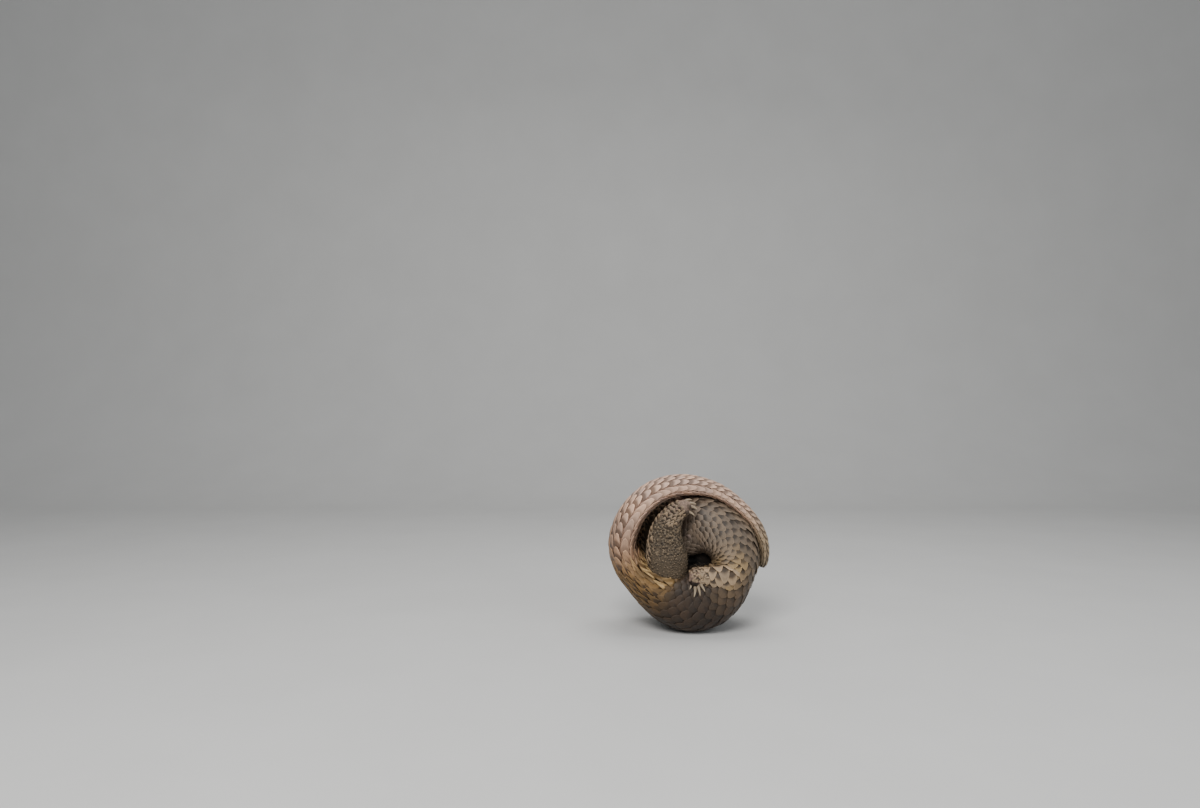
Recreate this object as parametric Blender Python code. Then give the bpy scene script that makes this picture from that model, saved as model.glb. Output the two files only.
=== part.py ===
"""A Sunda pangolin rolled up at rest, life size, as a still model.

The frame: metres, +Z up, the floor at z = 0 and the origin under the middle of the animal.
The left side of the animal faces -Y. The spine lies in the plane y = 0 and winds clockwise
(seen from -Y) from the snout in the middle, over the nape, down the back, round the rump and
over the top again as the tail.

A station is one cross-section of a limb or of the spine: its centre, the way its back points,
and how far it reaches to the back, to the belly and to each side. A Tube runs smoothly through
its stations, and every scale is laid on a Tube by its own two surface parameters.
"""

import math
import random

import bmesh
import bpy
import numpy as np
from mathutils import Matrix, Vector
from mathutils.bvhtree import BVHTree

# Driving dimensions, metres and degrees

COIL_Z = 0.1075            # height of the middle of the coil
FLOOR_Z = 0.0              # the animal is cut flat where it rests
SEAM = 0.0003              # gap between neighbouring parts
LIMB_ROOM = 0.0005         # room left round a limb where the body is cut for it
PLATE_ROOM = 0.0010        # least room between a scale and any other part
PLATE_REACH = 1.34         # length of a scale ahead of its row, in row distances
PLATE_FILL = 0.86          # width of a scale, as a share of the distance to the next one
SEAM_CLIP = 0.00025        # scales end this far from the middle of a seam
MERGE = 0.00001            # corners nearer than this are one
# How round a section is: 1 is an oval, and less is squarer; the belly side is flatter than the back
BACK_POWER = 0.82
BELLY_POWER = 0.60
LIMB_POWER = 0.92
BODY_SIDES = 16            # corners of a cross-section of the head and trunk
TAIL_SIDES = 12
LIMB_SIDES = 10
SPINE_RINGS = {"head": 11, "neck": 11, "torso_front": 7, "torso_middle": 7, "rump": 7}
TAIL_RINGS = 5
LEG_RINGS = 8
FOOT_RINGS = 6

# The spine on the coil: clock angle, radius of the back, radius of the belly, half width.
# Clock angles run clockwise from the top, and the tail goes past 360.
COIL_STATIONS = (
    (110, 0.0900, 0.0265, 0.0620),
    (124, 0.0925, 0.0235, 0.0650),
    (140, 0.0980, 0.0185, 0.0670),
    (165, 0.1055, 0.0155, 0.0680),
    (185, 0.1085, 0.0160, 0.0680),
    (205, 0.1060, 0.0200, 0.0670),
    (225, 0.1035, 0.0300, 0.0640),
    (243, 0.1060, 0.0460, 0.0590),
    (258, 0.1135, 0.0670, 0.0530),
    (275, 0.1190, 0.0820, 0.0480),
    (300, 0.1195, 0.0855, 0.0440),
    (330, 0.1165, 0.0870, 0.0400),
    (356, 0.1105, 0.0850, 0.0370),
    (380, 0.1055, 0.0850, 0.0330),
    (405, 0.1035, 0.0860, 0.0290),
    (430, 0.1080, 0.0920, 0.0240),
    (448, 0.1100, 0.0975, 0.0175),
    (458, 0.1090, 0.0990, 0.0110),
    (462, 0.1070, 0.1000, 0.0060),
)
NODE_CLOCKS = (110, 156, 206, 256, 290, 324, 358, 393, 428)   # where trunk and tail are parted
NODE_NAMES = ("torso_front", "torso_middle", "rump", "tail_1", "tail_2", "tail_3", "tail_4", "tail_5", "tail_6")

# The neck folds round one pivot, so its sections are rays from it: clock angle, how far out the
# nape and the throat are, half width
NECK_PIVOT_RADIUS = 0.020
NECK_STATIONS = (
    (92, 0.0720, 0.0065, 0.0610),
    (72, 0.0720, 0.0065, 0.0600),
    (50, 0.0743, 0.0065, 0.0580),
    (28, 0.0771, 0.0070, 0.0560),
    (6, 0.0838, 0.0080, 0.0520),
    (-15, 0.0880, 0.0090, 0.0450),
    (-34, 0.0695, 0.0100, 0.0360),
)
# The head beyond the neck: distance from the last ray, up, down, half width
HEAD_STATIONS = (
    (0.012, 0.0245, 0.0225, 0.0295),
    (0.022, 0.0200, 0.0195, 0.0250),
    (0.031, 0.0150, 0.0165, 0.0200),
    (0.040, 0.0105, 0.0125, 0.0145),
    (0.048, 0.0080, 0.0090, 0.0105),
    (0.0545, 0.0062, 0.0066, 0.0082),
    (0.0575, 0.0042, 0.0042, 0.0060),
)
NECK_SAG = 0.16
HEAD_NECK_CLOCK = -16      # the ray that parts head and neck

# Limbs of the left side: centre, half height in the picture plane, half depth across it
HIND_LIMB_STATIONS = (
    ((-0.036, -0.030, 0.060), 0.0200, 0.0150),
    ((-0.038, -0.040, 0.080), 0.0260, 0.0180),
    ((-0.0395, -0.048, 0.105), 0.0275, 0.0180),
    ((-0.0425, -0.051, 0.130), 0.0240, 0.0150),
    ((-0.0405, -0.052, 0.150), 0.0195, 0.0130),
    ((-0.0320, -0.052, 0.166), 0.0150, 0.0115),
    ((-0.0235, -0.052, 0.1750), 0.0120, 0.0110),
    ((-0.0140, -0.052, 0.1795), 0.0095, 0.0105),
    ((-0.0080, -0.052, 0.1800), 0.0060, 0.0080),
)
FORE_LIMB_STATIONS = (
    ((0.062, -0.034, 0.083), 0.0130, 0.0120),
    ((0.055, -0.048, 0.0834), 0.0175, 0.0150),
    ((0.038, -0.057, 0.082), 0.0175, 0.0130),
    ((0.018, -0.060, 0.083), 0.0140, 0.0110),
    ((0.006, -0.061, 0.084), 0.0115, 0.0100),
    ((-0.001, -0.062, 0.0845), 0.0115, 0.0100),
    ((-0.0065, -0.063, 0.0830), 0.0090, 0.0085),
    ((-0.0090, -0.063, 0.0820), 0.0050, 0.0055),
)
# Claws of the left feet: root, tip, how far the middle bows, radius at the root
HIND_CLAWS = (
    ((-0.0120, -0.0590, 0.1800), (0.0010, -0.0610, 0.1765), 0.0018, 0.0026),
    ((-0.0140, -0.0540, 0.1820), (0.0000, -0.0560, 0.1830), 0.0022, 0.0027),
    ((-0.0170, -0.0500, 0.1840), (-0.0050, -0.0510, 0.1885), 0.0022, 0.0027),
    ((-0.0150, -0.0600, 0.1740), (-0.0030, -0.0630, 0.1680), 0.0015, 0.0023),
)
FORE_CLAWS = (
    ((-0.0050, -0.0660, 0.0800), (-0.0050, -0.0715, 0.0575), 0.0022, 0.0030),
    ((-0.0030, -0.0670, 0.0800), (0.0035, -0.0725, 0.0590), 0.0016, 0.0028),
    ((-0.0012, -0.0670, 0.0815), (0.0105, -0.0725, 0.0650), 0.0010, 0.0026),
    ((-0.0070, -0.0640, 0.0820), (-0.0110, -0.0705, 0.0680), 0.0015, 0.0023),
)
# Heights and shifts along X: the right hind leg leans, with its hip nearer to the root of the tail
UPRIGHT = ((0.0, 0.0), (1.0, 0.0))
RIGHT_HIND_LEAN = ((0.125, -0.016), (0.170, 0.004))
LIMBS = (
    ("hind_leg", "hind_foot", HIND_LIMB_STATIONS, 5, HIND_CLAWS),
    ("foreleg", "forefoot", FORE_LIMB_STATIONS, 4, FORE_CLAWS),
)

# Details of the head: distance from the snout, and the turn round from the crown
EYE_AT = 0.0290
EYE_TURN = math.radians(62)
EYE_RADIUS = 0.0036
LIDS = ((-10, 190, 1.00, 0.0010), (165, 375, 0.97, 0.0008))   # start, end, size and half thickness
EAR_AT = 0.0530
EAR_TURN = math.radians(80)
EAR_SIZE = (0.0068, 0.0044, 0.0042)
NOSTRIL_AT = 0.0016
NOSTRIL_TURN = math.radians(48)
MOUTH_SPAN = (0.0012, 0.0170)
MOUTH_GROOVE = (0.0006, 0.0152)
MOUTH_TURN = math.radians(122)
LIP_RADIUS = 0.0017

# Scales along the spine: distance between rows at the middle of the body, distance between the
# scales of a row where the body is widest, how far round from the back they go, the greatest
# half width of that stretch, and how far their free edges stand off
SPINE_ROWS = {
    "head": (0.0105, 0.0165, math.radians(62), 0.045, 0.0018),
    "neck": (0.0145, 0.0260, math.radians(118), 0.061, 0.0030),
    "trunk": (0.0150, 0.0310, math.radians(122), 0.068, 0.0038),
    "tail": (0.0150, 0.0230, math.radians(98), 0.048, 0.0026),
}
HEAD_SCALES_FROM = 0.026   # the face in front of this is bare skin
BARE_TIP = 0.012           # the very tip of the tail has no scale of its own

# Scales of the limbs: the stretch of the leg they cover, the turns of their rows, their number in
# a row, their length and width, and the turn of their tips from the run of the leg
LIMB_ROWS = {
    "foreleg": ((0.014, 0.060), (40, 4, -34), 3, 0.0145, 0.0155, -90),
    "hind_leg": ((0.038, 0.104), (-36, -76), 4, 0.0185, 0.0135, 0),
}
LIMB_LIFT = 0.0026

# Colours and roughness of the parts
COLOURS = {
    "head": ((0.200, 0.150, 0.115), 0.55),
    "neck": ((0.230, 0.170, 0.125), 0.50),
    "torso_front": ((0.115, 0.075, 0.052), 0.45),
    "torso_middle": ((0.120, 0.078, 0.054), 0.45),
    "rump": ((0.300, 0.170, 0.085), 0.50),
    "tail_1": ((0.340, 0.225, 0.160), 0.50),
    "tail_2": ((0.400, 0.285, 0.215), 0.50),
    "tail_3": ((0.430, 0.310, 0.240), 0.50),
    "tail_4": ((0.400, 0.290, 0.220), 0.50),
    "tail_5": ((0.310, 0.235, 0.180), 0.55),
    "tail_6": ((0.190, 0.155, 0.115), 0.60),
    "hind_leg": ((0.210, 0.180, 0.135), 0.70),
    "hind_foot": ((0.330, 0.250, 0.200), 0.65),
    "foreleg": ((0.230, 0.175, 0.130), 0.55),
    "forefoot": ((0.420, 0.290, 0.240), 0.65),
    "eye": ((0.010, 0.008, 0.006), 0.10),
    "ear": ((0.300, 0.225, 0.190), 0.75),
}


def hermite(keys, values, at, limited):
    """A smooth cubic through the values at the keys. A limited one never overshoots them."""
    step = np.diff(keys)[:, None]
    rise = np.diff(values, axis=0) / step
    slope = np.zeros_like(values)
    slope[0] = rise[0]
    slope[-1] = rise[-1]
    before, after = rise[:-1], rise[1:]
    if limited:
        same = before * after > 0
        slope[1:-1] = np.where(same, 2 * before * after / np.where(same, before + after, 1), 0)
    else:
        slope[1:-1] = (before * step[1:] + after * step[:-1]) / (step[1:] + step[:-1])
    at = np.clip(at, keys[0], keys[-1])
    i = np.clip(np.searchsorted(keys, at, side="right") - 1, 0, len(keys) - 2)
    gap = keys[i + 1] - keys[i]
    x = ((at - keys[i]) / gap)[..., None]
    gap = gap[..., None]
    start = values[i] * (1 + 2 * x) * (1 - x) ** 2 + slope[i] * gap * x * (1 - x) ** 2
    end = values[i + 1] * x * x * (3 - 2 * x) + slope[i + 1] * gap * x * x * (x - 1)
    return start + end


def unit(vectors):
    return vectors / np.linalg.norm(vectors, axis=-1, keepdims=True)


class Tube:
    """A body through stations of (centre, back direction, side direction, back, belly, side reach)."""

    def __init__(self, stations, back_power, belly_power):
        self.rows = np.array([np.concatenate([np.ravel(part) for part in row]) for row in stations])
        steps = np.linalg.norm(np.diff(self.rows[:, :3], axis=0), axis=1)
        self.keys = np.concatenate([[0.0], np.cumsum(steps)])
        self.length = self.keys[-1]
        self.back_power = back_power
        self.belly_power = belly_power

    def section(self, s):
        s = np.asarray(s, float)
        place = hermite(self.keys, self.rows[:, :9], s, limited=False)
        reach = hermite(self.keys, self.rows[:, 9:], s, limited=True)
        centre = place[..., 0:3]
        back = unit(place[..., 3:6])
        side = unit(place[..., 6:9])
        return centre, back, side, reach[..., 0], reach[..., 1], reach[..., 2]

    def point(self, s, turn, grow=0.0):
        """turn is 0 on the back, a quarter turn on the left side and a half turn on the belly."""
        centre, back, side, up, down, wide = self.section(s)
        c = np.cos(turn)
        d = np.sin(turn)
        upward = np.where(c > 0, np.abs(c) ** self.back_power * (up + grow), 0.0)
        downward = np.where(c > 0, 0.0, np.abs(c) ** self.belly_power * (down + grow))
        high = upward - downward
        out = (wide + grow) * np.sign(d) * np.abs(d) ** self.back_power
        return centre + back * high[..., None] + side * out[..., None]

    def frame(self, s, turn):
        """The surface point, its rates along and round the body, and the unit normal."""
        step = 1e-4
        here = self.point(s, turn)
        along = (self.point(s + step, turn) - self.point(s - step, turn)) / (2 * step)
        around = (self.point(s, turn + step) - self.point(s, turn - step)) / (2 * step)
        out = unit(np.cross(around, along))
        inward = np.sum(out * (here - self.section(s)[0]), axis=-1, keepdims=True) < 0
        return here, along, around, np.where(inward, -out, out)


def mesh_object(name, points, faces):
    mesh = bpy.data.meshes.new(name)
    mesh.from_pydata([tuple(p) for p in points], [], [tuple(f) for f in faces])
    mesh.validate()
    obj = bpy.data.objects.new(name, mesh)
    bpy.context.scene.collection.objects.link(obj)
    face_outwards(obj)
    return obj


def face_outwards(obj):
    bm = bmesh.new()
    bm.from_mesh(obj.data)
    bmesh.ops.remove_doubles(bm, verts=bm.verts, dist=MERGE)
    bmesh.ops.recalc_face_normals(bm, faces=bm.faces)
    bm.to_mesh(obj.data)
    bm.free()


def tube_object(name, tube, start, end, shifts=(0.0, 0.0), grow=0.0, rings=12, sides=BODY_SIDES):
    """The body between two stations, closed by flat ends. shifts move the ends along the tube."""
    s = np.linspace(start, end, rings)
    turn = np.linspace(0, 2 * math.pi, sides, endpoint=False)
    grid = tube.point(s[:, None] + 0 * turn, turn + 0 * s[:, None], grow)
    centre, back, side, *_ = tube.section(s)
    for ring, inner, shift in ((0, 1, shifts[0]), (-1, -2, shifts[1])):
        across = np.cross(back[ring], side[ring])
        onward = (centre[inner] - centre[ring]) * (1 if ring == 0 else -1)
        grid[ring] += across * np.sign(np.dot(across, onward)) * shift
    ring = np.arange(rings - 1)[:, None] * sides
    j = np.arange(sides)
    k = (j + 1) % sides
    walls = np.stack([ring + j, ring + k, ring + k + sides, ring + j + sides], axis=-1).reshape(-1, 4)
    ends = [tuple(range(sides)), tuple(range((rings - 1) * sides, rings * sides))]
    return mesh_object(name, grid.reshape(-1, 3), walls.tolist() + ends)


def clock_direction(clock):
    angle = math.radians(clock)
    return np.array([math.sin(angle), 0.0, math.cos(angle)])


LEFT = np.array([0.0, -1.0, 0.0])


def neck_share(index):
    """How far up a neck section its widest line lies. It sags most in the middle of the neck."""
    return 0.5 - NECK_SAG * math.sin(math.pi * (index + 1) / (len(NECK_STATIONS) + 1))


def spine_stations():
    """Every station from the snout to the tip of the tail, and the clock or distance of each."""
    centre = np.array([0.0, 0.0, COIL_Z])
    pivot = centre + clock_direction(COIL_STATIONS[0][0]) * NECK_PIVOT_RADIUS
    stations = []
    names = []
    last = NECK_STATIONS[-1]
    ray = clock_direction(last[0])
    heading = clock_direction(last[0] - 90)
    base = pivot + ray * (last[2] + neck_share(len(NECK_STATIONS) - 1) * (last[1] - last[2]))
    for distance, up, down, wide in reversed(HEAD_STATIONS):
        stations.append((base + heading * distance, ray, LEFT, up, down, wide))
        names.append(("head", distance))
    for index, (clock, nape, throat, wide) in reversed(list(enumerate(NECK_STATIONS))):
        ray = clock_direction(clock)
        low = neck_share(index) * (nape - throat)
        middle = pivot + ray * (throat + low)
        stations.append((middle, ray, LEFT, nape - throat - low, low, wide))
        names.append(("neck", clock))
    for clock, back, belly, wide in COIL_STATIONS:
        ray = clock_direction(clock)
        middle = centre + ray * (back + belly) / 2
        half = (back - belly) / 2
        stations.append((middle, ray, LEFT, half, half, wide))
        names.append(("coil", clock))
    return stations, names


def leaning(height, lean):
    """The shift along X of a limb at a height."""
    heights, shifts = zip(*lean)
    return np.interp(height, heights, shifts)


def limb_stations(rows, mirror, lean):
    """Stations of a limb. The picture-plane side of each section is square to the limb and to Y."""
    centres = np.array([row[0] for row in rows]) * np.array([1.0, -1.0 if mirror else 1.0, 1.0])
    centres[:, 0] += leaning(centres[:, 2], lean)
    ways = np.gradient(centres, axis=0)
    outward = np.array([0.0, 1.0 if mirror else -1.0, 0.0])
    stations = []
    for centre, way, row in zip(centres, ways, rows):
        way = way / np.linalg.norm(way)
        flat = np.cross(way, outward)
        flat = flat / np.linalg.norm(flat)
        out = np.cross(flat, way)
        out = out * np.sign(np.dot(out, outward))
        stations.append((centre, out, flat, row[2], row[2], row[1]))
    return stations


def position_of(names, keys, kind, value):
    """The distance along the spine of a clock angle on the neck or the coil."""
    at = [key for name, key in zip(names, keys) if name[0] == kind]
    values = [name[1] for name in names if name[0] == kind]
    return float(np.interp(value, values, at))


def clear_scene():
    for obj in list(bpy.data.objects):
        bpy.data.objects.remove(obj, do_unlink=True)


def material(name, colour, rough):
    made = bpy.data.materials.new(name)
    made.use_nodes = True
    shader = made.node_tree.nodes["Principled BSDF"]
    shader.inputs["Base Color"].default_value = (*colour, 1.0)
    shader.inputs["Roughness"].default_value = rough
    shader.inputs["Metallic"].default_value = 0.0
    return made


def boolean(obj, other, operation):
    """Joins or cuts with one object or one collection, and applies it."""
    modifier = obj.modifiers.new(operation, "BOOLEAN")
    modifier.operation = operation
    modifier.solver = "EXACT"
    if isinstance(other, bpy.types.Collection):
        modifier.operand_type = "COLLECTION"
        modifier.collection = other
    else:
        modifier.object = other
    bake_modifiers(obj)


def bake_modifiers(obj):
    graph = bpy.context.evaluated_depsgraph_get()
    mesh = bpy.data.meshes.new_from_object(obj.evaluated_get(graph))
    obj.modifiers.clear()
    old = obj.data
    obj.data = mesh
    bpy.data.meshes.remove(old)


def cut_with(obj, cutters):
    for cutter in cutters:
        boolean(obj, cutter, "DIFFERENCE")


def remove(objects):
    for obj in objects:
        bpy.data.objects.remove(obj, do_unlink=True)


def block(name, low, high):
    corners = [(x, y, z) for x in (low[0], high[0]) for y in (low[1], high[1]) for z in (low[2], high[2])]
    faces = ((0, 1, 3, 2), (4, 6, 7, 5), (0, 4, 5, 1), (2, 3, 7, 6), (0, 2, 6, 4), (1, 5, 7, 3))
    return mesh_object(name, corners, faces)


def ball(name, centre, radii, axes=np.eye(3), rings=6, sides=10):
    """An ellipsoid with its poles on its third axis."""
    tilt = np.linspace(0, math.pi, rings + 1)[1:-1, None]
    turn = np.linspace(0, 2 * math.pi, sides, endpoint=False)
    unit_grid = np.stack([np.sin(tilt) * np.cos(turn), np.sin(tilt) * np.sin(turn), np.cos(tilt) + 0 * turn], -1)
    points = np.vstack([unit_grid.reshape(-1, 3), [[0, 0, 1], [0, 0, -1]]]) * np.array(radii)
    top = (rings - 1) * sides
    faces = []
    for j in range(sides):
        k = (j + 1) % sides
        faces.append((top, j, k))
        faces.append((top + 1, top - sides + k, top - sides + j))
        for ring in range(rings - 2):
            first = ring * sides
            faces.append((first + j, first + sides + j, first + sides + k, first + k))
    return mesh_object(name, centre + points @ np.array(axes), faces)


def rope(name, centres, radii, sides=6, ups=(0.0, 0.0, 1.0)):
    """A tapering bar of round section along a line of points, closed by flat ends."""
    centres = np.array(centres)
    ways = unit(np.gradient(centres, axis=0))
    first = unit(np.cross(ways, np.broadcast_to(ups, ways.shape)))
    second = np.cross(ways, first)
    turn = np.linspace(0, 2 * math.pi, sides, endpoint=False)[:, None]
    radii = np.broadcast_to(radii, (len(centres),))
    grid = [c + r * (np.cos(turn) * a + np.sin(turn) * b) for c, a, b, r in zip(centres, first, second, radii)]
    count = len(centres)
    faces = [tuple(range(sides)), tuple(range((count - 1) * sides, count * sides))]
    for i in range(count - 1):
        for j in range(sides):
            k = (j + 1) % sides
            faces.append((i * sides + j, i * sides + k, (i + 1) * sides + k, (i + 1) * sides + j))
    return mesh_object(name, np.vstack(grid), faces)


# Corners of a scale: shares of its length ahead of its row and of its width, and the height as a
# share of the lift. The free edge has an upper and a lower corner, and the root ends in the body.
PLATE_CORNERS = {
    "root": (-0.30, 0.0, -0.60),
    "shoulder_a": (0.12, -0.47, 0.20),
    "side_a": (0.70, -0.40, 0.78),
    "tip": (1.00, 0.0, 1.00),
    "side_b": (0.70, 0.40, 0.78),
    "shoulder_b": (0.12, 0.47, 0.20),
    "crown": (0.38, 0.0, 0.92),
    "under_a": (0.70, -0.40, 0.40),
    "under_tip": (1.00, 0.0, 0.64),
    "under_b": (0.70, 0.40, 0.40),
    "deep": (0.06, 0.0, -1.00),
}
PLATE_RIM = ("root", "shoulder_a", "side_a", "tip", "side_b", "shoulder_b")
PLATE_UNDER = ("root", "shoulder_a", "under_a", "under_tip", "under_b", "shoulder_b")
PLATE_EDGE = (
    ("shoulder_a", "under_a", "side_a"),
    ("side_a", "under_a", "under_tip"),
    ("side_a", "under_tip", "tip"),
    ("tip", "under_tip", "under_b"),
    ("tip", "under_b", "side_b"),
    ("side_b", "under_b", "shoulder_b"),
)


def plate_faces():
    """Triangles of a scale: a fan on top, a fan below and the wall of the free edge between."""
    order = list(PLATE_CORNERS)
    faces = list(PLATE_EDGE)
    for first, second in zip(PLATE_RIM, PLATE_RIM[1:] + PLATE_RIM[:1]):
        faces.append((first, second, "crown"))
    for first, second in zip(PLATE_UNDER, PLATE_UNDER[1:] + PLATE_UNDER[:1]):
        faces.append((second, first, "deep"))
    return [tuple(order.index(corner) for corner in face) for face in faces]


def plate(tube, s, turn, length, width, lift, aim=0.0):
    """One scale on a Tube. aim turns it away from the run of the body, towards the belly."""
    corners = np.array(list(PLATE_CORNERS.values()))
    ahead = corners[:, 0] * length
    aside = corners[:, 1] * width
    _, along, around, _ = tube.frame(s, turn)
    onward = (ahead * math.cos(aim) - aside * math.sin(aim)) / np.linalg.norm(along)
    across = (ahead * math.sin(aim) + aside * math.cos(aim)) / np.linalg.norm(around)
    here, _, _, out = tube.frame(np.clip(s + onward, 0, tube.length), turn + across)
    return mesh_object("plate", here + out * (corners[:, 2:3] * lift), plate_faces())


def clip(obj, point, keep):
    """Cuts a plate flush by a plane and closes it. keep points to the side that stays."""
    bm = bmesh.new()
    bm.from_mesh(obj.data)
    whole = bm.verts[:] + bm.edges[:] + bm.faces[:]
    bmesh.ops.bisect_plane(bm, geom=whole, dist=1e-7, plane_co=point, plane_no=keep, clear_inner=True)
    rim = [edge for edge in bm.edges if edge.is_boundary]
    if rim:
        bmesh.ops.holes_fill(bm, edges=rim, sides=0)
    bmesh.ops.recalc_face_normals(bm, faces=bm.faces)
    bm.to_mesh(obj.data)
    bm.free()


def tree_of(obj):
    bm = bmesh.new()
    bm.from_mesh(obj.data)
    tree = BVHTree.FromBMesh(bm)
    bm.free()
    return tree


def clear_of(obj, trees):
    """Whether a piece keeps PLATE_ROOM to every other part."""
    own = tree_of(obj)
    spots = [v.co for v in obj.data.vertices] + [f.center for f in obj.data.polygons]
    for tree in trees:
        if own.overlap(tree):
            return False
        if any(tree.find_nearest(spot, PLATE_ROOM)[0] for spot in spots):
            return False
    return True


def touching_edges(obj):
    """The middles of the edges where a surface only touches itself."""
    bm = bmesh.new()
    bm.from_mesh(obj.data)
    spots = [sum((v.co for v in edge.verts), Vector()) / 2 for edge in bm.edges if len(edge.link_faces) != 2]
    bm.free()
    return spots


def fuse(obj, pieces):
    """Joins pieces to a part by one Boolean union. Pieces that would only touch an edge are left out."""
    while pieces:
        before = obj.data.copy()
        group = bpy.data.collections.new("pieces")
        for piece in pieces:
            group.objects.link(piece)
        boolean(obj, group, "UNION")
        bpy.data.collections.remove(group)
        keep_largest(obj)
        spots = touching_edges(obj)
        trees = [(piece, tree_of(piece)) for piece in pieces]
        bad = [piece for piece, tree in trees if any(tree.find_nearest(spot, MERGE)[0] for spot in spots)]
        if not bad:
            break
        obj.data = before
        remove(bad)
        pieces = [piece for piece, tree in trees if piece not in bad]
    remove(pieces)


def split_faces(obj):
    """Merges corners that coincide and splits every face into triangles."""
    bm = bmesh.new()
    bm.from_mesh(obj.data)
    bmesh.ops.triangulate(bm, faces=bm.faces)
    bmesh.ops.remove_doubles(bm, verts=bm.verts, dist=MERGE)
    bmesh.ops.dissolve_degenerate(bm, edges=bm.edges, dist=MERGE)
    bm.to_mesh(obj.data)
    bm.free()


def keep_largest(obj):
    """Keeps the closed surface with the largest area, walking from face to face over their edges."""
    bm = bmesh.new()
    bm.from_mesh(obj.data)
    waiting = set(bm.faces)
    groups = []
    while waiting:
        front = [waiting.pop()]
        group = list(front)
        while front:
            for edge in front.pop().edges:
                for other in edge.link_faces:
                    if other in waiting:
                        waiting.remove(other)
                        group.append(other)
                        front.append(other)
        groups.append(group)
    groups.sort(key=lambda group: sum(face.calc_area() for face in group))
    for group in groups[:-1]:
        bmesh.ops.delete(bm, geom=group, context="FACES")
    bm.to_mesh(obj.data)
    bm.free()


def scale_rows(tube, start, end, pitch, spacing, reach):
    """Rows of scales in brick order: (s, turn, length, width, aim) for each one.

    pitch is the distance between rows at the middle of the body and spacing that between
    scales in a row. reach is how far round from the back the scales go, in turns of the section.
    """
    rows = int((end - start) / pitch)
    step = (end - start) / rows
    for row in range(rows):
        s = start + (row + 0.5) * step
        turns = np.linspace(0, reach, 60)
        spots = tube.point(s + 0 * turns, turns)
        walked = np.concatenate([[0], np.cumsum(np.linalg.norm(np.diff(spots, axis=0), axis=1))])
        count = max(1, round(walked[-1] / spacing(s)))
        gap = walked[-1] / count
        offset = 0.5 if row % 2 else 0.0
        columns = np.arange(offset, count - 0.24, 1.0) * gap
        for column in columns:
            turn = float(np.interp(column, walked, turns))
            rate = float(np.linalg.norm(tube.frame(s, turn)[1]))
            for side in (1, -1) if column > 0 else (1,):
                yield s, side * turn, PLATE_REACH * step * rate, gap, 0.0


class Seam:
    """The flat joint between two nodes on one Tube."""

    def __init__(self, tube, s):
        centre, back, side, *_ = tube.section(s)
        self.point = centre
        ahead = tube.section(min(s + 1e-3, tube.length))[0] - tube.section(max(s - 1e-3, 0))[0]
        way = np.cross(back, side)
        self.way = way * np.sign(np.dot(way, ahead))


def keep_between(piece, first, last):
    """Clips a scale to its own node. Returns False when too little of it is left."""
    for seam, sense in ((first, 1.0), (last, -1.0)):
        if seam is None:
            continue
        keep = seam.way * sense
        point = seam.point + keep * SEAM_CLIP
        beyond = [(np.array(v.co) - point) @ keep for v in piece.data.vertices]
        if min(beyond) < 0:
            clip(piece, Vector(point), Vector(keep))
    return len(piece.data.vertices) > 5


def lay_scales(node, tube, rows, seams, trees, lift):
    """Makes the scales of one node, leaves out those that meet another part, and fuses the rest."""
    dice = random.Random(node.name)
    pieces = []
    for s, turn, length, width, aim in rows:
        length *= dice.uniform(0.96, 1.04)
        twist = aim + dice.uniform(-0.03, 0.03)
        height = lift * min(1.0, (length / 0.026) ** 0.5) * dice.uniform(0.92, 1.08)
        piece = plate(tube, s, turn, length, width * PLATE_FILL, height, twist)
        if keep_between(piece, *seams) and clear_of(piece, trees):
            pieces.append(piece)
        else:
            remove([piece])
    split_faces(node)
    fuse(node, pieces)


def spine_parts(tube, names):
    """Start and end along the spine of the head, the neck, the trunk and the tail."""
    parting = position_of(names, tube.keys, "neck", HEAD_NECK_CLOCK)
    ends = [position_of(names, tube.keys, "coil", clock) for clock in NODE_CLOCKS]
    marks = [0.0, parting] + ends + [tube.length]
    return {name: span for name, span in zip(("head", "neck") + NODE_NAMES, zip(marks[:-1], marks[1:]))}


def spine_cores(tube, parts):
    """The bodies of the spine without their scales, each with half of the seam taken off."""
    half = SEAM / 2
    cores = {}
    for name, (start, end) in parts.items():
        shifts = (half if start > 0 else 0.0, -half if end < tube.length else 0.0)
        rings = SPINE_RINGS.get(name, TAIL_RINGS)
        sides = BODY_SIDES if name in SPINE_RINGS else TAIL_SIDES
        cores[name] = tube_object(name, tube, start, end, shifts, rings=rings, sides=sides)
    return cores


def limb_cores(tube, leg, foot, split):
    """A leg, its foot, and the cutters that make room for them in the body."""
    half = SEAM / 2
    made = {
        leg: tube_object(leg, tube, 0.0, split, (0.0, -half), rings=LEG_RINGS, sides=LIMB_SIDES),
        foot: tube_object(foot, tube, split, tube.length, (half, 0.0), rings=FOOT_RINGS, sides=LIMB_SIDES),
    }
    ends = (-SEAM, SEAM)
    room = [
        tube_object("room", tube, 0.0, split, ends, LIMB_ROOM, LEG_RINGS, LIMB_SIDES),
        tube_object("room", tube, split, tube.length, ends, LIMB_ROOM, FOOT_RINGS, LIMB_SIDES),
    ]
    return made, room


def surface_axes(tube, s, turn):
    """The point on a body, and its directions along, round and out."""
    here, along, around, out = tube.frame(s, turn)
    along = unit(along)
    return here, along, np.cross(out, along), out


def arc_on(tube, s, turn, radii, lift, start, end, count):
    """Points of a piece of an oval that lies on the skin round a spot."""
    here, along, around, out = surface_axes(tube, s, turn)
    angle = np.radians(np.linspace(start, end, count))[:, None]
    return here + radii[0] * np.cos(angle) * along + radii[1] * np.sin(angle) * around + lift * out


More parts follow.
